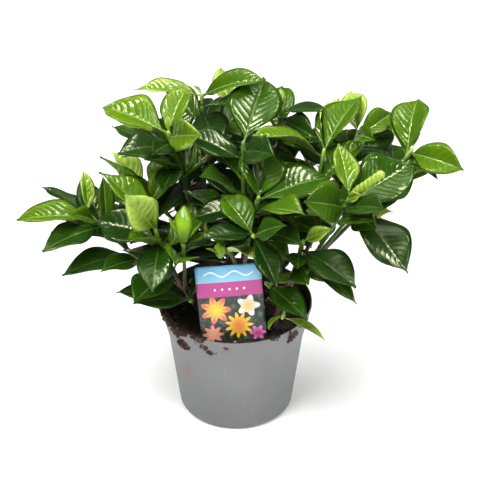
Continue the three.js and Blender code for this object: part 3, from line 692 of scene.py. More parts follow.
def add_tube(part, centres, along, radii, sides, finish, age):
    """A closed tube along a path, with a pole just past each end and an age at every ring."""
    rings = tube_rings(centres, along, radii, sides)
    thick = np.asarray(radii, float).reshape(len(centres), -1)[:, 0]
    first = centres[0] - along[0] * thick[0] * 0.5
    last = centres[-1] + along[-1] * thick[-1] * 0.5
    ages = np.repeat(age, sides)
    ages = np.concatenate([ages[:1], ages, ages[-1:]])
    part.add(closed(rings, first, last), *grid_faces(len(centres), sides), finish, stem=alone(ages))


def add_stem(part, curve, start, end, radii, finish, ages, knots=()):
    """A round stem along part of a curve. It tapers evenly and swells as a bell curve at each knot."""
    steps = max(4, int((end - start) * curve.reach() / STEM_STEP))
    t = np.linspace(start, end, steps)
    radius = np.interp(t, (start, end), radii)
    for knot in knots:
        apart = (t - knot) * curve.reach()
        radius = radius + KNOT_SWELL * np.exp(-(apart / KNOT_LENGTH) ** 2)
    age = np.interp(t, (start, end), ages)
    add_tube(part, curve.at(t), curve.along(t), radius, STEM_SIDES, finish, age)


def add_straight(part, base, bud, share, radii, age):
    """A bud's tube: rings of its radii at shares of its length, straight along its heading."""
    azimuth, rise, length, _ = bud
    heading = heading_of(azimuth, rise)
    centres = base + heading * (length * share)[:, None]
    along = np.repeat(heading[None], len(share), 0)
    add_tube(part, centres, along, radii, BUD_SIDES, BUD, age)


def add_bud(part, base, bud):
    """A plump bud of rolled petals: fullest at its middle, with three ridges that wind up it."""
    share = np.linspace(0, 0.97, 30)
    low = 1 - 0.65 * (1 - share / 0.5) ** 2
    high = np.cos(np.pi / 2 * np.clip((share - 0.5) / 0.5, 0, 1) ** 1.4)
    swell = np.where(share < 0.5, low, high)[:, None]
    turn = np.arange(BUD_SIDES) / BUD_SIDES
    wound = (3 * turn + 1.6 * share[:, None]) % 1
    ridges = 1 + 0.17 * (wound - 0.5) * smooth(share, 0.1, 0.5)[:, None]
    add_straight(part, base, bud, share, bud[-1] * swell * ridges, 0.7 * share)


def add_rolled_leaf(part, base, bud):
    """A young leaf still rolled up: a blunt tube, knobbly as a sine of its length that winds round it,
    with one step where its rim overlaps."""
    share = np.linspace(0, 1, 48)
    low = 1 - 0.6 * (1 - np.clip(share / 0.3, 0, 1)) ** 2
    high = np.sqrt(1 - 0.7 * np.clip((share - 0.92) / 0.08, 0, 1) ** 2)
    turn = np.arange(BUD_SIDES) / BUD_SIDES
    knobs = 1 + 0.09 * np.sin(2 * np.pi * (8 * share[:, None] + 2 * turn))
    overlap = 1 + 0.16 * ((turn + 0.2 * share[:, None]) % 1 - 0.5)
    radii = bud[-1] * (low * high)[:, None] * knobs * overlap
    add_straight(part, base, bud, share, radii, 0.8 + 0.2 * share)


# Shader maths

def operator(operation):
    """A method of a value that adds one Math node with another value or a number."""
    return lambda value, other: value.math(operation, other)


class Value:
    """A socket of a material. Sums, products and powers of values add their Math nodes."""

    def __init__(self, finish, socket):
        self.finish, self.socket = finish, socket

    def math(self, operation, *others):
        inputs = dict(enumerate((self, *others)))
        return self.finish.node("ShaderNodeMath", {"operation": operation}, inputs)

    __add__ = __radd__ = operator("ADD")
    __sub__ = operator("SUBTRACT")
    __mul__ = operator("MULTIPLY")
    __truediv__ = operator("DIVIDE")
    __pow__ = operator("POWER")

    def size(self):
        return self.math("ABSOLUTE")

    def over(self, low, high):
        """0 below low, 1 above high, smooth between; low may be the greater, which turns it round."""
        settings = {"interpolation_type": "SMOOTHSTEP"}
        ends = {1: min(low, high), 2: max(low, high), 3: float(low > high), 4: float(low < high)}
        return self.finish.node("ShaderNodeMapRange", settings, {0: self} | ends)


class Finish:
    """A material in the making, with one Principled surface."""

    def __init__(self, name):
        self.material = bpy.data.materials.new(name)
        self.material.use_nodes = True
        self.tree = self.material.node_tree
        self.tree.nodes.clear()

    def node(self, kind, settings=None, inputs=None, output=0):
        """Adds a node: its settings first, then the values or links of its sockets."""
        made = self.tree.nodes.new(kind)
        for key, value in (settings or {}).items():
            if key == "stops":
                self.set_stops(made.color_ramp, value)
            else:
                setattr(made, key, value)
        for key, value in (inputs or {}).items():
            if isinstance(value, Value):
                self.tree.links.new(value.socket, made.inputs[key])
            else:
                made.inputs[key].default_value = value
        return Value(self, made.outputs[output])

    @staticmethod
    def set_stops(ramp, stops):
        while len(ramp.elements) < len(stops):
            ramp.elements.new(0.5)
        for element, (place, colour) in zip(ramp.elements, stops):
            element.position = place
            element.color = (*colour, 1)

    def place(self):
        """Where a point is on the object, in metres."""
        return self.node("ShaderNodeTexCoord", output="Object")

    def attribute(self, name):
        """The three values of a point attribute."""
        return self.split(self.node("ShaderNodeAttribute", {"attribute_name": name}, output="Vector"))

    def split(self, vector):
        """The three values of a vector."""
        return [self.node("ShaderNodeSeparateXYZ", None, {0: vector}, output=i) for i in range(3)]

    def noise(self, scale, detail=3, rough=0.55, place=None):
        """Cloudy noise, from 0 to 1."""
        inputs = {"Vector": place or self.place(), "Scale": scale, "Detail": detail, "Roughness": rough}
        return self.node("ShaderNodeTexNoise", None, inputs)

    def cells(self, scale):
        """How far a point is from the nearest of many scattered ones."""
        return self.node("ShaderNodeTexVoronoi", None, {"Vector": self.place(), "Scale": scale})

    def ramp(self, value, stops):
        return self.node("ShaderNodeValToRGB", {"stops": stops}, {0: value})

    def mix(self, factor, first, second, mode="MIX"):
        """One colour laid over another by a factor."""
        colours = {6: self.colour(first), 7: self.colour(second)}
        settings = {"data_type": "RGBA", "blend_type": mode, "clamp_factor": True}
        return self.node("ShaderNodeMix", settings, {0: factor} | colours, output=2)

    @staticmethod
    def colour(value):
        return value if isinstance(value, Value) else (*value, 1)

    def bump(self, height):
        """A height in millimetres as a normal."""
        return self.node("ShaderNodeBump", None, {"Height": height, "Distance": MM, "Strength": 1.0})

    def done(self, **sockets):
        """The surface. A socket's name has underscores for its spaces."""
        inputs = {key.replace("_", " "): value for key, value in sockets.items()}
        shader = self.node("ShaderNodeBsdfPrincipled", None, inputs)
        output = self.tree.nodes.new("ShaderNodeOutputMaterial")
        self.tree.links.new(shader.socket, output.inputs["Surface"])
        return self.material


# Finishes

LEAF_TONES = [
    (0.0, (0.007, 0.028, 0.002)),
    (0.2, (0.015, 0.054, 0.003)),
    (0.45, (0.034, 0.094, 0.003)),
    (0.65, (0.062, 0.14, 0.004)),
    (0.85, (0.105, 0.2, 0.004)),
    (1.0, (0.37, 0.53, 0.08)),
]


def leaf_finish():
    """Glossy leaf: dark to yellow-green by its tone, with a pale midrib and rim, darker veins, and a
    paler, duller underside with pale veins. They run forward from the midrib in step with the
    swellings of the mesh."""
    leaf = Finish("gardenia leaf")
    across, share, layer = leaf.attribute("blade")
    tone, chance, veins = leaf.attribute("kind")
    from_rib = leaf.attribute("rib")[0]
    out = across.size()
    blotch = leaf.noise(70, 4)
    mottle = leaf.noise(420, 2)
    shade = tone + (blotch - 0.5) * 0.3 + (chance - 0.5) * 0.1
    shade = shade + (out * out + share - 0.85) * (tone * 0.16 + 0.03)
    toned = leaf.ramp(shade, LEAF_TONES)
    half_turn = across.over(-0.001, 0.001) * 0.5
    wobble = ((share * 1.7 + chance) * (2 * math.pi)).math("SINE") * VEIN_WOBBLE
    phase = veins * (share - out ** VEIN_CURVE * VEIN_SKEW) + half_turn + wobble
    wave = (phase * math.pi).math("SINE").size()
    vein = wave.over(0.3, 0.02) * out.over(0.98, 0.6)
    midrib = from_rib.over(0.7, 0.3) * share.over(1.0, 0.75)
    rim = out.over(0.95, 1.0)
    top = leaf.mix(vein * 0.5, toned, (0.5, 0.62, 0.4), "MULTIPLY")
    top = leaf.mix(midrib * (tone * 0.62 + 0.1), top, (0.3, 0.44, 0.08))
    top = leaf.mix(rim * (tone * 0.3 + 0.05), top, (0.26, 0.36, 0.04))
    pale = leaf.mix(tone.over(0.75, 1.0), (0.07, 0.13, 0.02), (0.64, 0.75, 0.28))
    below = leaf.mix(0.5, toned, pale)
    below = leaf.mix(vein * 0.4, below, (0.2, 0.31, 0.07))
    below = leaf.mix(midrib * 0.7, below, (0.32, 0.44, 0.12))
    under = layer.over(0.5, -0.5)
    base = leaf.mix(under, top, below)
    base = leaf.mix(mottle.over(0.35, 0.75) * 0.18, base, (0.5, 0.5, 0.5), "MULTIPLY")
    satin = leaf.noise(38, 2).over(0.42, 0.6)
    rough = 0.1 + tone.over(0.4, 0.1) * 0.09 + under * 0.28 + satin * 0.09 + blotch * 0.05
    fine = leaf.noise(1500, 2)
    quilt = wave ** 0.8 * out.over(1.0, 0.75) * (tone * 0.24 + 0.1)
    height = quilt + fine * 0.03 + mottle * (tone * 0.2 + 0.1)
    return leaf.done(Base_Color=base, Roughness=rough, Specular_IOR_Level=0.35,
                     Specular_Tint=(0.93, 1, 0.62, 1), Normal=leaf.bump(height))


def stem_finish():
    """Green stem: yellow-green when young, darker and browner with age, finely mottled."""
    stem = Finish("green stem")
    age = stem.attribute("stem")[0]
    mottle = stem.noise(500, 3)
    base = stem.ramp(age + (mottle - 0.5) * 0.25, [
        (0.0, (0.3, 0.46, 0.06)),
        (0.35, (0.08, 0.18, 0.012)),
        (0.8, (0.032, 0.064, 0.01)),
        (1.0, (0.07, 0.055, 0.022)),
    ])
    return stem.done(Base_Color=base, Roughness=0.5 + mottle * 0.15, Normal=stem.bump(mottle * 0.2))


def bark_finish():
    """Brown woody stem with fine cracks and pale flecks."""
    bark = Finish("bark")
    crack = bark.noise(420, 5, 0.7)
    flecks = bark.cells(320).over(0.25, 0.12)
    base = bark.ramp(crack, [
        (0.3, (0.035, 0.02, 0.01)),
        (0.5, (0.11, 0.062, 0.03)),
        (0.75, (0.22, 0.14, 0.075)),
    ])
    base = bark.mix(flecks * 0.5, base, (0.4, 0.3, 0.18))
    return bark.done(Base_Color=base, Roughness=0.8, Normal=bark.bump(crack * 0.7 + flecks * 0.2))


def bud_finish():
    """Fresh green bud, with painted shade darker towards its base and tip so that it is brightest round its
    middle, and paler for a rolled leaf, with a soft gloss.
    """
    bud = Finish("bud")
    share = bud.attribute("stem")[0]
    mottle = bud.noise(500, 3)
    # Painted shade: the ramp darkens the bud towards its base and its tip.
    base = bud.ramp(share + (mottle - 0.5) * 0.25, [
        (0.0, (0.08, 0.17, 0.005)),
        (0.35, (0.21, 0.38, 0.006)),
        (0.65, (0.11, 0.23, 0.006)),
        (1.0, (0.32, 0.46, 0.05)),
    ])
    return bud.done(Base_Color=base, Roughness=0.34, Normal=bud.bump(mottle * 0.15))


# Where a smear of soil dried on the pot, in metres.
SMEAR_X = -0.042
SMEAR_Z = 0.056


def pot_finish():
    """Grey moulded plastic: dull, scuffed, painted shade darker towards its foot, stained under the rim at
    the left and smeared with soil at one place, and lined inside with soil dirt and painted shade."""
    pot = Finish("pot plastic")
    x, y, z = pot.split(pot.place())
    cloud = pot.noise(28, 4)
    grain = pot.noise(900, 2)
    long_place = pot.node("ShaderNodeMapping", None, {"Vector": pot.place(), "Scale": (1, 1, 0.12)})
    scuff = pot.noise(260, 4, 0.7, long_place).over(0.6, 0.75)
    base = pot.ramp(cloud, [(0.3, (0.18, 0.18, 0.183)), (0.7, (0.211, 0.211, 0.213))])
    base = pot.mix(scuff * 0.25, base, (0.34, 0.34, 0.335))
    stain = pot.noise(75, 5, 0.65).over(0.52, 0.68) * z.over(0.078, 0.1) * x.over(0.01, -0.03)
    base = pot.mix(stain * 0.55, base, (0.07, 0.05, 0.04))
    from_smear = ((x - SMEAR_X) ** 2 + ((z - SMEAR_Z) * 0.45) ** 2) ** 0.5
    smear = pot.noise(180, 4).over(0.35, 0.6) * from_smear.over(0.007, 0.002) * y.over(0, -0.02)
    base = pot.mix(smear * 0.55, base, (0.22, 0.12, 0.09))
    # Painted shade: the pot turns darker towards its foot, where less light falls.
    base = pot.mix(z.over(0.09, -0.01) * 0.42, base, (0.085, 0.085, 0.088))
    # Soil dirt and painted shade: the inner wall of the pot turns dark brown.
    radius = (x * x + y * y) ** 0.5
    wall_middle = z * COLLAR_SLOPE + (COLLAR_LOW_RADIUS - WALL / 2 - COLLAR_LOW_Z * COLLAR_SLOPE) * MM
    inside = (radius - wall_middle).over(0.0003, -0.0003)
    base = pot.mix(inside * (cloud * 0.4 + 0.6), base, (0.03, 0.022, 0.017))
    rough = 0.5 + cloud * 0.12 - scuff * 0.08
    return pot.done(Base_Color=base, Roughness=rough, Normal=pot.bump(grain * 0.035 + cloud * 0.1))


def soil_finish():
    """Damp peat: nearly black crumbs with browner and paler grains."""
    soil = Finish("soil")
    crumb = soil.cells(420)
    grain = soil.noise(900, 4, 0.7)
    base = soil.ramp(grain, [
        (0.35, (0.008, 0.005, 0.004)),
        (0.6, (0.03, 0.017, 0.011)),
        (0.85, (0.09, 0.055, 0.035)),
    ])
    return soil.done(Base_Color=base, Roughness=0.85, Normal=soil.bump(crumb * 1.2 + grain * 0.5))


def crumb_finish():
    """Loose bits of the soil: each has its own brown, and a few are pale."""
    crumb = Finish("soil crumbs")
    chance = crumb.attribute("crumb")[0]
    grain = crumb.noise(1200, 3)
    base = crumb.ramp(chance + (grain - 0.5) * 0.2, [
        (0.0, (0.008, 0.005, 0.004)),
        (0.55, (0.026, 0.014, 0.009)),
        (0.85, (0.14, 0.052, 0.022)),
        (0.95, (0.42, 0.32, 0.2)),
    ])
    return crumb.done(Base_Color=base, Roughness=0.8, Normal=crumb.bump(grain * 0.4))


def floor_finish():
    """Pale matt ground that glows a little, so that it stays near white."""
    floor = Finish("pale floor")
    cloud = floor.noise(3, 2)
    base = floor.ramp(cloud, [(0.3, (0.9, 0.9, 0.9)), (0.7, (0.93, 0.93, 0.93))])
    return floor.done(Base_Color=base, Roughness=0.7, Emission_Color=(1, 1, 1, 1),
                      Emission_Strength=0.12)


# Foliage

def knots_of(index):
    """Where leaves stand on a shoot, as shares of its curve."""
    backs = {leaf["back"] for leaf in read_leaves(index) + rule_leaves(index)}
    return sorted(1 - back / CURVES[index].reach() for back in backs)


def build_foliage(finishes, rng):
    """One piece for each shoot's old part and one for its young tip: stem, leaves and bud."""
    leaves = all_leaves()
    for curve, row, knots in zip(CURVES, SHOOTS, map(knots_of, range(len(SHOOTS)))):
        gap = FIT_GAP / curve.reach()
        young_from = 1 - row["young"] / curve.reach()
        node = f"{row['name']}_old"
        old = Part()
        radii = (GREEN_RADIUS, YOUNG_RADIUS)
        add_stem(old, curve, WOOD_SHARE + gap, young_from, radii, STEM, (1, 0.3), knots)
        add_leaves(old, leaves[node], LEAF, rng)
        old.piece(f"{row['name']}_leaves_old", [node], finishes)
        if not row["young"]:
            continue
        node = f"{row['name']}_young"
        young = Part()
        add_stem(young, curve, young_from + gap, 1, (YOUNG_RADIUS, TIP_RADIUS), STEM, (0.3, 0), knots)
        if row["bud"]:
            add = add_rolled_leaf if row["name"] in ROLLED_LEAVES else add_bud
            add(young, curve.end, row["bud"])
        if node in leaves:
            add_leaves(young, leaves[node], LEAF, rng)
        young.piece(f"{row['name']}_leaves_young", [node], finishes)


def build_wood(bark):
    """Each trunk with the brown stretch of every shoot that grows from it."""
    for number, (name, _, _) in enumerate(TRUNKS):
        part = Part()
        curve = trunk_curve(number)
        add_stem(part, curve, 0, 1, (TRUNK_RADIUS, WOOD_RADIUS), 0, (1, 1), TRUNK_KNOTS)
        for i, row in enumerate(SHOOTS):
            if row["trunk"] == number:
                radii = (WOOD_RADIUS, GREEN_RADIUS)
                add_stem(part, CURVES[i], 0, WOOD_SHARE, radii, 0, (1, 0.6), (WOOD_SHARE * 0.95,))
        part.piece(f"{name}_stems", [name], [bark])


# Pot and soil

# The finely turned wall, and the cutters of the drain holes.
POT_SIDES = 144
LIP_ROUND = 0.6
LONGEST_ROW = 5
DRAIN_SIDES = 24
DRAIN_PAST = 3

# The soil's body: places round, rings of its top, the heap, and each size of lump with its height.
SOIL_SIDES = 180
SOIL_RINGS = 56
SOIL_DOME = 3
SOIL_HEAP = 5
SOIL_HEAP_AT = (-46, -22)
SOIL_HEAP_SPREAD = 20
SOIL_LUMPS = [(16, 0.7), (6, 0.45), (3, 0.3)]
WAVES = 24

# Loose bits on the soil: how many, how far out, and how high above it.
CRUMBS = (1500, 61.5, 0.2)
PALE_GRAINS = 60
CHIPS = (110, 58, 0.6)

# Where wet soil stuck to the rim and wall: azimuth from the front, height, spread and number of bits.
STUCK_PLACES = [
    (-46, 88.5, 4.6, 150), (-52, 98, 5, 120), (-66, 103, 11, 330), (-46, 103, 8, 200),
    (-25, 95, 2.6, 40), (-20, 91, 2.2, 34), (-8, 99, 1.4, 8), (48, 97, 4.6, 120),
    (60, 104, 6, 60), (-30, 104, 6, 50), (-88, 104, 7, 70), (30, 104, 6, 14),
]


def collar_radius(z):
    """The collar's outer radius at a height."""
    return np.interp(z, (COLLAR_LOW_Z, POT_HEIGHT), (COLLAR_LOW_RADIUS, RIM_RADIUS))


def turned(profile, sides):
    """A profile of radii and heights turned about the axis: points of rows by sides."""
    radius, height = np.array(profile, float).T
    turn = 2 * np.pi * np.arange(sides) / sides
    x, y = radius[:, None] * np.cos(turn), radius[:, None] * np.sin(turn)
    return np.stack([x, y, np.repeat(height[:, None], sides, 1)], -1)


def rounded(corners, cut, steps=5):
    """An outline whose corners are cut back and replaced by quadratic curves between the cuts."""
    corners = np.array(corners, float)
    outline = [corners[:1]]
    for before, corner, after in zip(corners, corners[1:], corners[2:]):
        short = min(cut, np.linalg.norm(before - corner) / 2.2, np.linalg.norm(after - corner) / 2.2)
        start = corner + unit(before - corner) * short
        end = corner + unit(after - corner) * short
        t = np.linspace(0, 1, steps)[:, None]
        outline.append((1 - t) ** 2 * start + 2 * t * (1 - t) * corner + t ** 2 * end)
    return np.concatenate(outline + [corners[-1:]])


def finer(outline, longest):
    """An outline with even points added along its long stretches."""
    fine = [outline[:1]]
    for start, end in zip(outline, outline[1:]):
        count = max(1, int(np.ceil(np.linalg.norm(end - start) / longest)))
        t = np.linspace(0, 1, count + 1)[1:, None]
        fine.append(start + (end - start) * t)
    return np.concatenate(fine)


def build_pot(material):
    """A thin turned wall with a rounded lip, a stepped collar and a flat floor, closed on the axis
    inside and out, then bored for its drain holes."""
    outer = [(BASE_RADIUS - 3, 0), (BASE_RADIUS, 3), (BODY_TOP_RADIUS, COLLAR_LOW_Z),
             (COLLAR_LOW_RADIUS, COLLAR_LOW_Z), (RIM_RADIUS, POT_HEIGHT - 3), (RIM_RADIUS, POT_HEIGHT),
             (RIM_RADIUS - WALL, POT_HEIGHT)]
    inner = [(COLLAR_LOW_RADIUS - WALL, COLLAR_LOW_Z + WALL), (BODY_TOP_RADIUS - WALL, COLLAR_LOW_Z + WALL),
             (BASE_RADIUS - WALL, FLOOR)]
    outline = rounded([(6, 0), (20, 0), *outer, *inner, (20, FLOOR), (6, FLOOR)], LIP_ROUND)
    rows = turned(finer(outline, LONGEST_ROW), POT_SIDES)
    part = Part()
    part.add(closed(rows, 0, (0, 0, FLOOR)), *grid_faces(len(rows), POT_SIDES), 0)
    bore_drain_holes(part.piece("pot_shell", ["pot"], [material]))


def bore_drain_holes(pot):
    """Cuts the round holes through the pot's floor with a boolean, then removes the cutters."""
    cutter = Part()
    low, high = -DRAIN_PAST, FLOOR + DRAIN_PAST
    for turn in 2 * np.pi * np.arange(DRAIN_HOLES) / DRAIN_HOLES:
        centre = DRAIN_CIRCLE * np.array([np.cos(turn), np.sin(turn), 0])
        rows = turned([(DRAIN_RADIUS, low), (DRAIN_RADIUS, high)], DRAIN_SIDES) + centre
        points = closed(rows, centre + low * Z, centre + high * Z)
        cutter.add(points, *grid_faces(len(rows), DRAIN_SIDES), 0)
    tool = cutter.piece("drain_cutter", [], [])
    bore = pot.modifiers.new("drain holes", "BOOLEAN")
    bore.operation = "DIFFERENCE"
    bore.object = tool
    bpy.context.view_layer.update()
    shape = pot.evaluated_get(bpy.context.evaluated_depsgraph_get())
    bored = bpy.data.meshes.new_from_object(shape)
    pot.modifiers.clear()
    pot.data = bored
    bpy.data.objects.remove(tool)


def noise_field(x, y, size, seed):
    """Smooth random height, mostly from -2 to 2: plane waves of about one size in random directions,
    their sum over the root of their number."""
    rng = np.random.default_rng(seed)
    turn, shift = rng.random((2, WAVES)) * 2 * np.pi
    stretch = rng.uniform(0.7, 1.4, WAVES) / size
    waves = np.cos(2 * np.pi * stretch * (x[..., None] * np.cos(turn) + y[..., None] * np.sin(turn)) + shift)
    return waves.sum(-1) / math.sqrt(WAVES)


def soil_height(x, y):
    """The soil's top: a low dome, a heap at the left front, and lumps of three sizes."""
    dome = SOIL_DOME * (1 - (x ** 2 + y ** 2) / RIM_RADIUS ** 2)
    from_heap = (x - SOIL_HEAP_AT[0]) ** 2 + (y - SOIL_HEAP_AT[1]) ** 2
    heap = SOIL_HEAP * np.exp(-from_heap / SOIL_HEAP_SPREAD ** 2)
    lumps = sum(rise * noise_field(x, y, size, seed) for seed, (size, rise) in enumerate(SOIL_LUMPS, 1))
    return SOIL_EDGE_Z + dome + heap + lumps


def build_soil(material):
    """The soil as one closed body: plain sides inside the pot and a lumpy top."""
    edge = collar_radius(SOIL_EDGE_Z) - WALL - FIT_GAP
    low = FLOOR + FIT_GAP
    ledge = COLLAR_LOW_Z + WALL + FIT_GAP
    side = [(10, low), (BASE_RADIUS - WALL - FIT_GAP, low), (BODY_TOP_RADIUS - WALL - FIT_GAP, ledge),
            (COLLAR_LOW_RADIUS - WALL - 2 * FIT_GAP, ledge)]
    top = [(radius, SOIL_EDGE_Z) for radius in np.linspace(edge, 1, SOIL_RINGS)]
    rows = turned(side + top, SOIL_SIDES)
    crown = rows[len(side):]
    crown[..., 2] = soil_height(crown[..., 0], crown[..., 1])
    part = Part()
    points = closed(rows, (0, 0, low), (0, 0, crown[-1, :, 2].mean()))
    part.add(points, *grid_faces(len(rows), SOIL_SIDES), 0)
    part.piece("soil_bed", ["soil"], [material])


def icosahedron():
    """The twelve corners of an even solid of radius one, and its twenty faces: every three corners
    that are all neighbours, under 1.1 apart, in the order that turns the face outwards."""
    golden = (1 + math.sqrt(5)) / 2
    corners = [(0, a, b * golden) for a in (-1, 1) for b in (-1, 1)]
    corners = np.array(corners + [(y, z, x) for x, y, z in corners] + [(z, x, y) for x, y, z in corners])
    corners = unit(corners)
    faces = []
    for a, b, c in itertools.combinations(range(12), 3):
        first, second, third = corners[[a, b, c]]
        longest = max(np.linalg.norm(edge) for edge in (first - second, second - third, third - first))
        if longest < 1.1:
            out = np.dot(np.cross(second - first, third - first), first)
            faces.append((a, b, c) if out > 0 else (a, c, b))
    return corners, np.array(faces)


def add_bits(part, centres, sizes, rng, shades):
    """Irregular bits: an even solid stretched along three directions, its corners jittered, turned at
    random by a quaternion drawn for each, set at its centre, and given a shade between two."""
    corners, faces = icosahedron()
    count = len(centres)
    shape = corners[None] * rng.uniform(0.75, 1.25, (count, 12, 1)) * sizes[:, None]
    spin = unit(rng.normal(size=(count, 1, 4)))
    swing = 2 * np.cross(spin[..., 1:], shape)
    points = shape + spin[..., :1] * swing + np.cross(spin[..., 1:], swing) + centres[:, None]
    step = 12 * np.arange(count)[:, None, None]
    chance = np.repeat(rng.uniform(*shades, count), 12)
    no_quads = np.zeros((0, 4), int)
    part.add(points.reshape(-1, 3), no_quads, (faces + step).reshape(-1, 3), 0, crumb=alone(chance))


def scattered(count, reach, lift, rng):
    """Even random places on the soil's top within a reach of the axis, lifted a little."""
    turn = rng.random(count) * 2 * np.pi
    radius = reach * np.sqrt(rng.random(count))
    x, y = radius * np.cos(turn), radius * np.sin(turn)
    return np.stack([x, y, soil_height(x, y) + lift], -1)


def build_crumbs(material, rng):
    """Crumbs over the soil, with a few pale grains and longer bark chips among them."""
    part = Part()
    centres = scattered(*CRUMBS, rng)
    sizes = rng.uniform(0.5, 1.5, (len(centres), 1)) * rng.uniform(0.6, 1.3, (len(centres), 3))
    add_bits(part, centres[PALE_GRAINS:], sizes[PALE_GRAINS:], rng, (0, 0.6))
    add_bits(part, centres[:PALE_GRAINS], sizes[:PALE_GRAINS], rng, (0.85, 1))
    centres = scattered(*CHIPS, rng)
    sizes = rng.uniform((2, 0.7, 0.5), (4.2, 1.6, 1.1), (len(centres), 3))
    add_bits(part, centres, sizes, rng, (0.2, 0.8))
    part.piece("soil_crumbs", [], [material], False)


def build_stuck_soil(material, rng):
    """Clumps of wet soil on the rim and on the wall below it: bits drawn round a few places as bell
    curves of their spread, and set on the wall or on the rim."""
    part = Part()
    for azimuth, height, spread, count in STUCK_PLACES:
        arc = np.radians(azimuth) + rng.normal(size=count) * spread / RIM_RADIUS * 0.6
        z = np.minimum(height + rng.normal(size=count) * min(spread, 5) * 0.45, POT_HEIGHT)
        radius = collar_radius(z) + 0.1 - (z == POT_HEIGHT) * rng.uniform(0, 2.5, count)
        centres = np.stack([radius * np.sin(arc), -radius * np.cos(arc), z], -1)
        sizes = rng.uniform(0.4, 2.1, (count, 1)) * rng.uniform(0.6, 1.3, (count, 3))
        add_bits(part, centres, sizes, rng, (0.1, 0.88))
    part.piece("stuck_soil", [], [material], False)


# Plant card

CARD_WIDTH = 54
CARD_HEIGHT = 69
CARD_THICK = 0.7
CARD_FOOT = 18
CARD_SHOULDER = 4.5
CARD_AT = np.array([-1, -52, 97])
CARD_LEAN = 10
CARD_ROLL = 5
CARD_CORNER = 1.5
CARD_ACROSS = 19

# The print: where its bands begin, and its flowers' centres, radii, petals, inner and outer colours.
PINK_Z = 41.5
BLUE_Z = 54.5
FLOWERS = [
    ((-13, 30), 13, 7, (0.9, 0.7, 0.05), (0.85, 0.16, 0.12)),
    ((14, 32), 10, 5, (0.8, 0.6, 0.2), (0.95, 0.85, 0.9)),
    ((5, 15), 12, 11, (0.7, 0.2, 0.02), (0.95, 0.62, 0.03)),
    ((20, 7), 7, 6, (0.5, 0.05, 0.25), (0.8, 0.2, 0.55)),
    ((-17, 8), 9, 8, (0.9, 0.5, 0.3), (0.85, 0.25, 0.2)),
]


def build_card(material):
    """A thin flat tag on a pointed foot: rows of its height, each as wide as the outline there, with a
    slight bow across, leaned back and rolled into place."""
    height = np.concatenate([np.linspace(-CARD_FOOT, -CARD_SHOULDER, 8), np.linspace(-3, CARD_HEIGHT, 40)])
    half = np.interp(height, (-CARD_FOOT, -CARD_SHOULDER), (0.6, CARD_WIDTH / 2))
    corner = np.clip((height - CARD_HEIGHT + CARD_CORNER) / CARD_CORNER, 0, 1)
    half = half - CARD_CORNER * (1 - np.sqrt(1 - corner ** 2))
    across = np.linspace(-1, 1, CARD_ACROSS)
    ring = np.concatenate([across, across[::-1]])
    layer = np.repeat([-1, 1], CARD_ACROSS)
    bow = 0.5 * (ring ** 2 - 0.4) * smooth(height, -4, 12)[:, None]
    coordinates = half[:, None] * ring, layer * CARD_THICK / 2 + bow, height[:, None]
    rows = np.stack(np.broadcast_arrays(*coordinates), -1)
    flat = closed(rows, (0, 0, -CARD_FOOT), (0, 0, CARD_HEIGHT))
    roll, lean = math.radians(CARD_ROLL), math.radians(-CARD_LEAN)
    spin = np.array([[math.cos(roll), 0, -math.sin(roll)], [0, 1, 0], [math.sin(roll), 0, math.cos(roll)]])
    tip = np.array([[1, 0, 0], [0, math.cos(lean), -math.sin(lean)], [0, math.sin(lean), math.cos(lean)]])
    side = np.concatenate([[0], np.tile(layer, len(height)), [0]])
    print_place = np.stack([flat[:, 0], flat[:, 2], side], -1)
    part = Part()
    part.add(flat @ spin.T @ tip.T + CARD_AT, *grid_faces(len(rows), len(ring)), 0, card=print_place)
    part.piece("plant_tag", ["plant_card"], [material])


def rosette(card, under, x, y, centre, radius, petals, inner, outer):
    """A round flower on the print: a wavy edge of petals, darker in the middle."""
    dx, dy = x - centre[0], y - centre[1]
    away = (dx * dx + dy * dy) ** 0.5
    turn = dy.math("ARCTAN2", dx) * petals
    edge = turn.math("COSINE") * 0.2 + 0.8
    inside = (edge * radius - away).over(-0.1, 0.4)
    streak = (turn * 2).math("COSINE") * 0.15
    tint = card.mix((away / radius + streak).over(0.1, 0.95), inner, outer)
    return card.mix(inside, under, tint)


def card_finish():
    """A printed card: a blue band with a wavy ribbon and a pink one with dots, over a dark garden field
    with plain round flowers, white on its back and edges."""
    card = Finish("printed card")
    x, y, side = card.attribute("card")
    leafy = card.noise(240, 4)
    art = card.ramp(leafy, [
        (0.35, (0.008, 0.012, 0.012)),
        (0.52, (0.02, 0.035, 0.027)),
        (0.7, (0.09, 0.13, 0.09)),
    ])
    for flower in FLOWERS:
        art = rosette(card, art, x, y, *flower)
    art = card.mix(y.over(PINK_Z - 0.2, PINK_Z + 0.2), art, (0.56, 0.06, 0.3))
    sky = card.mix(y.over(54, 69), (0.3, 0.66, 0.85), (0.16, 0.5, 0.78))
    art = card.mix(y.over(BLUE_Z - 0.2, BLUE_Z + 0.2), art, sky)
    curl = (x * 0.32).math("SINE") * 2.2 + 61.5
    ribbon = (y - curl).size().over(0.9, 0.5) * x.size().over(20.5, 20)
    art = card.mix(ribbon, art, (0.95, 0.97, 0.98))
    dots = ((x * 1.05).math("COSINE") - (y - 48).size() * 0.5).over(0.35, 0.5) * x.size().over(15, 14.5)
    art = card.mix(dots, art, (0.95, 0.9, 0.93))
    base = card.mix(side.over(-0.5, -0.9), (0.82, 0.82, 0.8), art)
    return card.done(Base_Color=base, Roughness=0.32, Normal=card.bump(leafy * 0.02), Coat_Weight=0.2)


# Studio

CAMERA_RISE = 32.3
CAMERA_DISTANCE = 1.2
AIM = Vector((0.0034, 0, 0.1636))
LENS = 107.9
SENSOR = 36
CLIP_END = 20
FLOOR_REACH = 6
SKY_LIGHT = 0.1

# Large soft lights: name, place, size and power.
SOFT_LIGHTS = [
    ("key", (-0.55, -0.7, 1.5), 0.8, 31),
    ("fill", (1.0, -0.9, 1.1), 0.9, 13),
    ("top", (0.1, 0.5, 1.7), 0.8, 24),
]

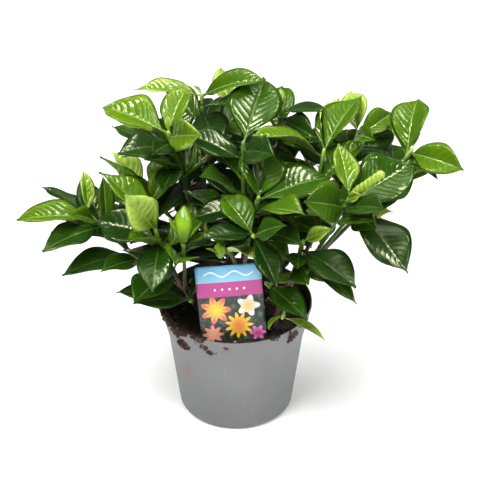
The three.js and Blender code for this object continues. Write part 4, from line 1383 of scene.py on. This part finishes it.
# Small bright lights for the gloss alone: place, size and power.
GLINTS = [
    ((-0.55, -0.7, 1.5), 0.34, 27),
    ((-0.8, 0.2, 1.5), 0.32, 25),
    ((0.1, 0.5, 1.7), 0.36, 28),
    ((0.8, 0.1, 1.5), 0.3, 20),
    ((1.0, -0.9, 1.1), 0.26, 13),
]


def build_camera():
    """The photograph's view: level with the front, looking down at the plant."""
    rise = math.radians(CAMERA_RISE)
    data = bpy.data.cameras.new("camera")
    data.lens = LENS
    data.sensor_width = SENSOR
    data.clip_end = CLIP_END
    camera = bpy.data.objects.new("camera", data)
    away = Vector((0, -math.cos(rise), math.sin(rise)))
    camera.location = AIM + away * CAMERA_DISTANCE
    camera.rotation_euler = (-away).to_track_quat("-Z", "Y").to_euler()
    bpy.context.collection.objects.link(camera)
    bpy.context.scene.camera = camera


def area_light(name, place, size, power, glint):
    """A square light that faces the plant. A glint shows only in the gloss, and other lights never do."""
    data = bpy.data.lights.new(name, "AREA")
    data.shape = "SQUARE"
    data.size = size
    data.energy = power
    light = bpy.data.objects.new(name, data)
    light.location = place
    light.visible_glossy = glint
    light.visible_diffuse = not glint
    light.rotation_euler = (AIM - Vector(place)).to_track_quat("-Z", "Y").to_euler()
    bpy.context.collection.objects.link(light)


def build_studio():
    """A wide pale floor, an even pale sky, three large soft lights, and small ones that the gloss
    mirrors as thin streaks."""
    mesh = bpy.data.meshes.new("floor")
    corners = [(x * FLOOR_REACH, y * FLOOR_REACH, 0) for x, y in ((-1, -1), (1, -1), (1, 1), (-1, 1))]
    mesh.from_pydata(corners, [], [(0, 1, 2, 3)])
    mesh.materials.append(floor_finish())
    floor = bpy.data.objects.new("floor", mesh)
    bpy.context.collection.objects.link(floor)
    world = bpy.data.worlds.new("sky")
    world.use_nodes = True
    sky = world.node_tree.nodes["Background"].inputs
    sky["Color"].default_value = (1, 1, 1, 1)
    sky["Strength"].default_value = SKY_LIGHT
    bpy.context.scene.world = world
    for name, place, size, power in SOFT_LIGHTS:
        area_light(name, place, size, power, False)
    for number, (place, size, power) in enumerate(GLINTS):
        area_light(f"glint {number}", place, size, power, True)
    bpy.context.scene.view_settings.view_transform = "Standard"


rng = np.random.default_rng(SCENE_SEED)
build_foliage([leaf_finish(), stem_finish(), bud_finish()], rng)
build_wood(bark_finish())
build_pot(pot_finish())
build_soil(soil_finish())
crumbs = crumb_finish()
build_crumbs(crumbs, rng)
build_stuck_soil(crumbs, rng)
build_card(card_finish())
build_camera()
build_studio()
